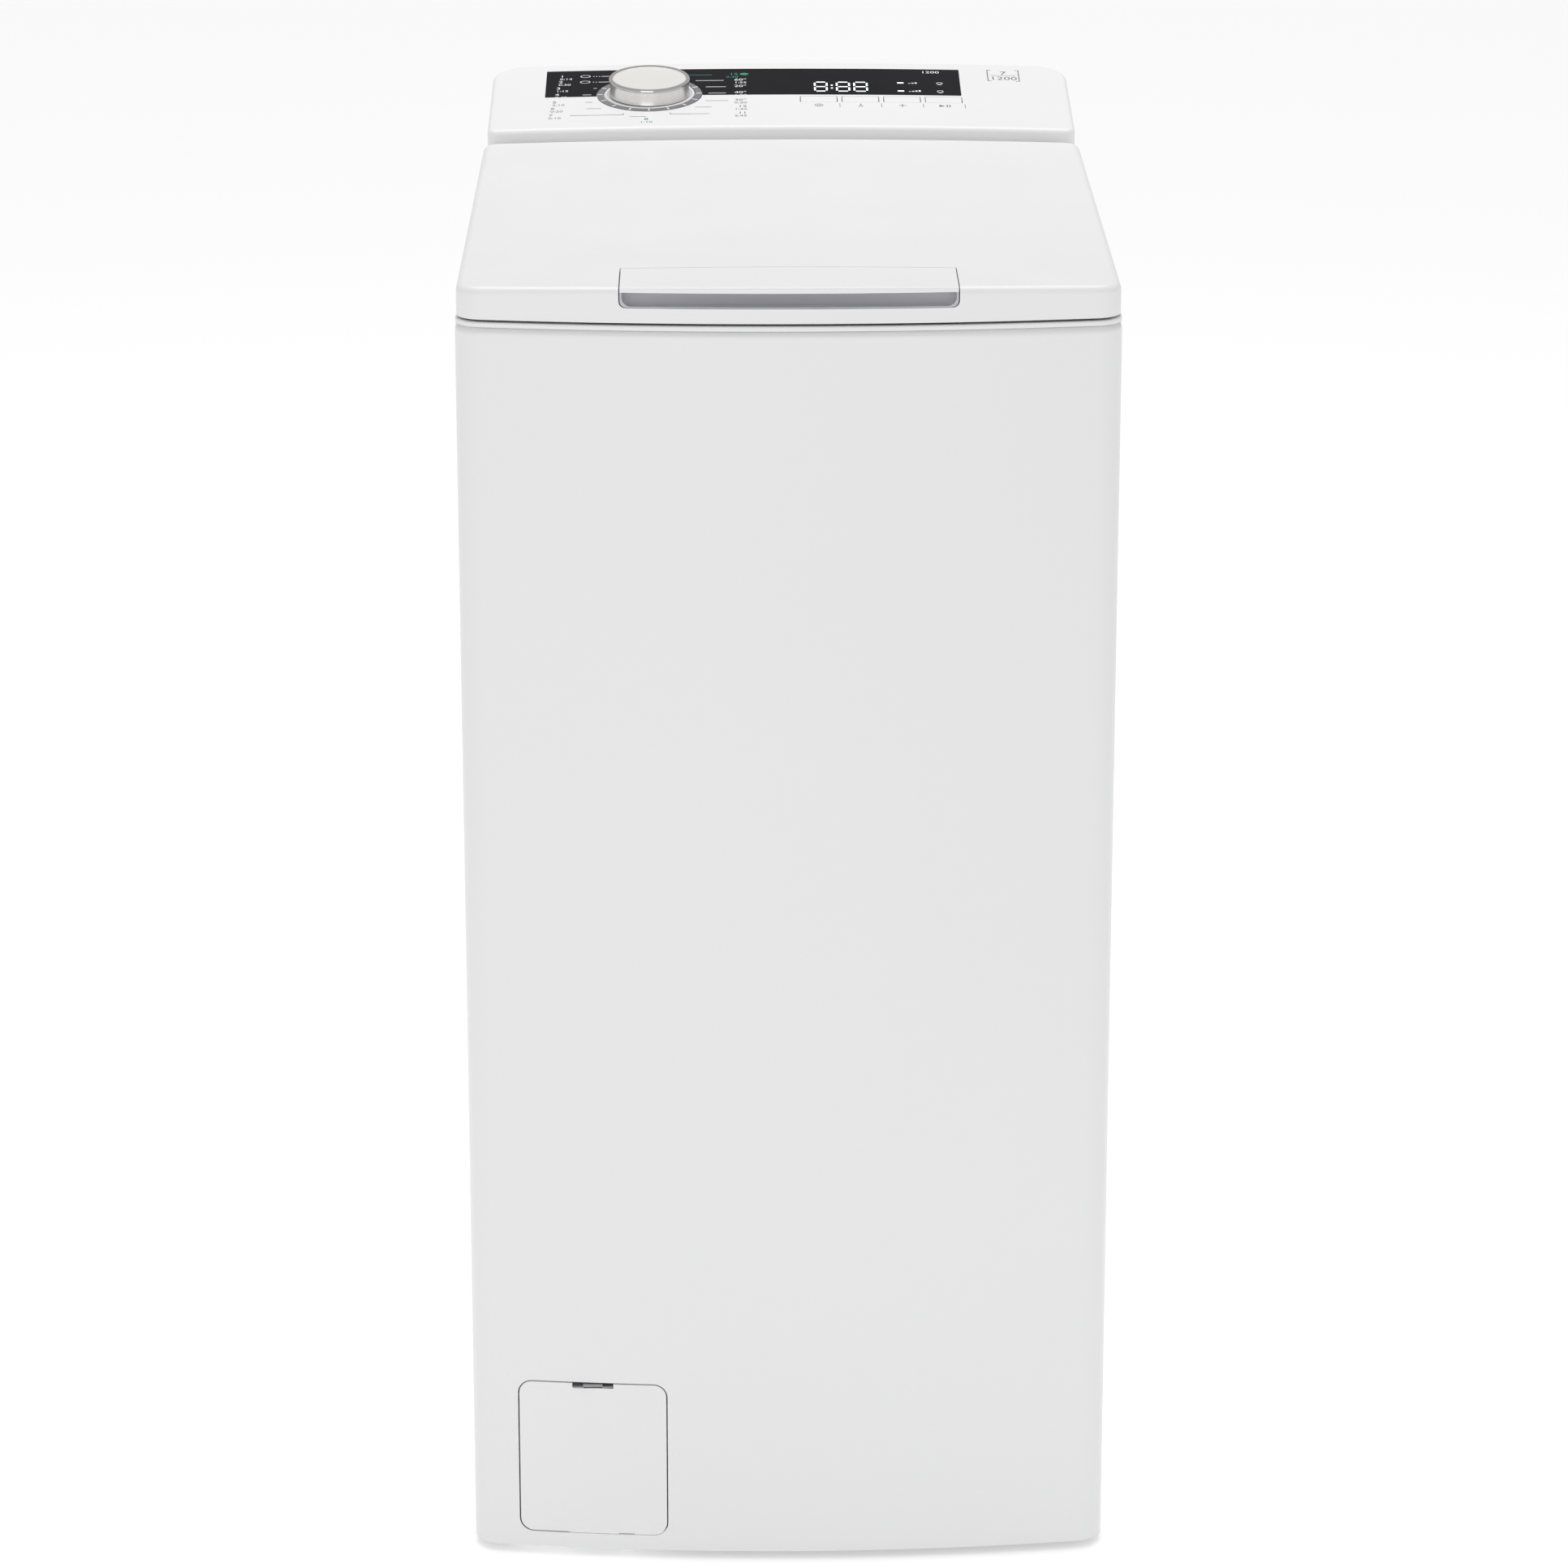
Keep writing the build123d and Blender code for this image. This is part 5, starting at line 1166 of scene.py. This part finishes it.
def display():
    """Lit seven-bar figures, the colon and two lamps."""
    bm = bmesh.new()
    w = (ON_FASCIA, ON_FASCIA + 0.05)
    low, high = 72.5, 91.5
    middle = (low + high) / 2
    for left, right in ((23.0, 32.3), (38.0, 47.6), (49.9, 59.7)):
        for v in (low, middle, high):
            bar(bm, (left + 1.6, right - 1.6), (v - 0.75, v + 0.75), w)
        for x in (left + 0.6, right - 0.6):
            for span in ((low + 1.6, middle - 1.6), (middle + 1.6, high - 1.6)):
                bar(bm, (x - 0.6, x + 0.6), span, w)
    for v in (middle - 3, middle + 3):
        bar(bm, (34.5, 35.9), (v - 0.9, v + 0.9), w)
    for v in (90.7, 73.6):
        bar(bm, (80.0, 84.3), (v - 1.0, v + 1.0), w)
    finished(made_object("display_figures", onto_slope(bm), LIGHT), "cabinet", None, weighted=False)


console_shell()
fascia()
dial()
keys()
legends()
display()


# ------------------------------------------------------------------ flexible links


def bellows():
    """Folded rubber collar between the tub neck and the well."""
    bm = bmesh.new()
    centre_y = AXIS[0]
    face = rectangle(bm, (-131.5, 131.5), (centre_y - 136.5, centre_y + 136.5), [14] * 4, 690, steps=6)
    loop = face.edges[:]
    bmesh.ops.delete(bm, geom=[face], context="FACES_ONLY")
    one_fold = ((0.3, 0), (0.5, 1), (0.7, 1), (0.95, 0))
    levels = [(690 + 78 * (fold + part) / 4, 9.0 * out) for fold in range(4) for part, out in one_fold]
    levels.append((768, 0))
    last = 0.0
    for z, grow in levels:
        made = bmesh.ops.extrude_edge_only(bm, edges=loop)
        verts = [g for g in made["geom"] if isinstance(g, bmesh.types.BMVert)]
        edges = [g for g in made["geom"] if isinstance(g, bmesh.types.BMEdge)]
        loop = [e for e in edges if all(v in set(verts) for v in e.verts)]
        scale = (131.5 + grow) / (131.5 + last)
        bmesh.ops.scale(bm, vec=(scale, scale, 1), space=Matrix.Translation((0, -centre_y, 0)), verts=verts)
        for vert in verts:
            vert.co.z = z
        last = grow
    bmesh.ops.recalc_face_normals(bm, faces=bm.faces)
    collar = walled(made_object("bellows_collar", bm, RUBBER), 2.0)
    finished(collar, None, "rubber_grey", "door_bellows", angle=60)
    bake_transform(collar)


def springs():
    """Two coil springs that carry the tub."""
    for side, name in ((-1, "spring_left"), (1, "spring_right")):
        bm = bmesh.new()
        made = bmesh.ops.create_circle(bm, segments=8, radius=1.6, cap_ends=True)
        upended = Matrix.Rotation(math.radians(90), 3, "X")
        bmesh.ops.rotate(bm, cent=(0, 0, 0), matrix=upended, verts=made["verts"])
        bmesh.ops.translate(bm, vec=(side * 179 + 8, AXIS[0], 604.1), verts=made["verts"])
        turns, steps = 12, 24
        bmesh.ops.spin(
            bm, geom=bm.faces[:], cent=(side * 179, AXIS[0], 604.1), axis=(0, 0, 1),
            dvec=(0, 0, 165.8 / (turns * steps)), angle=2 * math.pi * turns, steps=turns * steps,
        )
        bmesh.ops.recalc_face_normals(bm, faces=bm.faces)
        coil = made_object(name, bm, ZINC)
        nodes = ["suspension_springs"] if side < 0 else []
        finished(coil, None, "galvanised_steel", *nodes, angle=60, weighted=False)
        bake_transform(coil)


def sump_hose():
    """Corrugated hose under the tub."""
    profile = [(13.0, 112), (16.0, 112)]
    for ring in range(6):
        z = 120 + 14 * ring
        profile += [(16.0, z), (18.6, z + 2), (18.9, z + 5), (18.6, z + 8), (16.0, z + 10)]
    profile += [(16.0, 212), (13.0, 212), (13.0, 112)]
    bm = lathe(profile, 48)
    bmesh.ops.translate(bm, vec=(-124, -185, 0), verts=bm.verts)
    hose = made_object("sump_bellows", bm, DARK_RUBBER)
    finished(hose, None, "rubber_black", "sump_hose", angle=50, weighted=False)
    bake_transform(hose)


bellows()
springs()
sump_hose()


# ------------------------------------------------------------------ studio


def area_light(name, place, aim, size, power):
    """Soft rectangular lamp pointed at a place."""
    lamp = bpy.data.lights.new(name, "AREA")
    lamp.shape = "RECTANGLE"
    lamp.size, lamp.size_y = size
    lamp.energy = power
    obj = bpy.data.objects.new(name, lamp)
    obj.location = place
    obj.rotation_euler = (Vector(aim) - Vector(place)).to_track_quat("-Z", "Y").to_euler()
    bpy.context.scene.collection.objects.link(obj)


def studio():
    """Pale floor, soft light and the camera."""
    bm = bmesh.new()
    bmesh.ops.create_grid(bm, x_segments=1, y_segments=1, size=60000)
    shade = finish(
        "Pale floor", (0.93, 0.93, 0.93), (0.7, 0.8), tone=(0.5, 0.01), grain=(30.0, 0.01),
        Emission_Color=(1, 1, 1, 1), Emission_Strength=0.42,
    )
    floor = made_object("floor", bm, shade)
    floor.data.transform(Matrix.Scale(0.001, 4))
    world = bpy.data.worlds.new("Studio")
    bpy.context.scene.world = world
    world.use_nodes = True
    world.node_tree.nodes["Background"].inputs["Color"].default_value = (1, 1, 1, 1)
    world.node_tree.nodes["Background"].inputs["Strength"].default_value = 0.56
    area_light("Front fill", (-0.5, -3.6, 1.5), (0, 0, 0.4), (2.4, 2.4), 18)
    area_light("Top key", (0, 0.3, 2.6), (0, 0, 0.8), (1.6, 1.4), 23)
    bpy.context.scene.view_settings.view_transform = "Standard"
    camera = bpy.data.cameras.new("Camera")
    camera.lens = 131.5
    camera.clip_end = 100
    eye = bpy.data.objects.new("Camera", camera)
    azimuth, elevation, reach = math.radians(-0.6), math.radians(17.5), 3.8
    aim = Vector((0, 0, 0.4215))
    level = math.cos(elevation)
    back = Vector((math.sin(azimuth) * level, -math.cos(azimuth) * level, math.sin(elevation)))
    eye.location = aim + back * reach
    eye.rotation_euler = (-back).to_track_quat("-Z", "Y").to_euler()
    bpy.context.scene.collection.objects.link(eye)
    bpy.context.scene.camera = eye


studio()
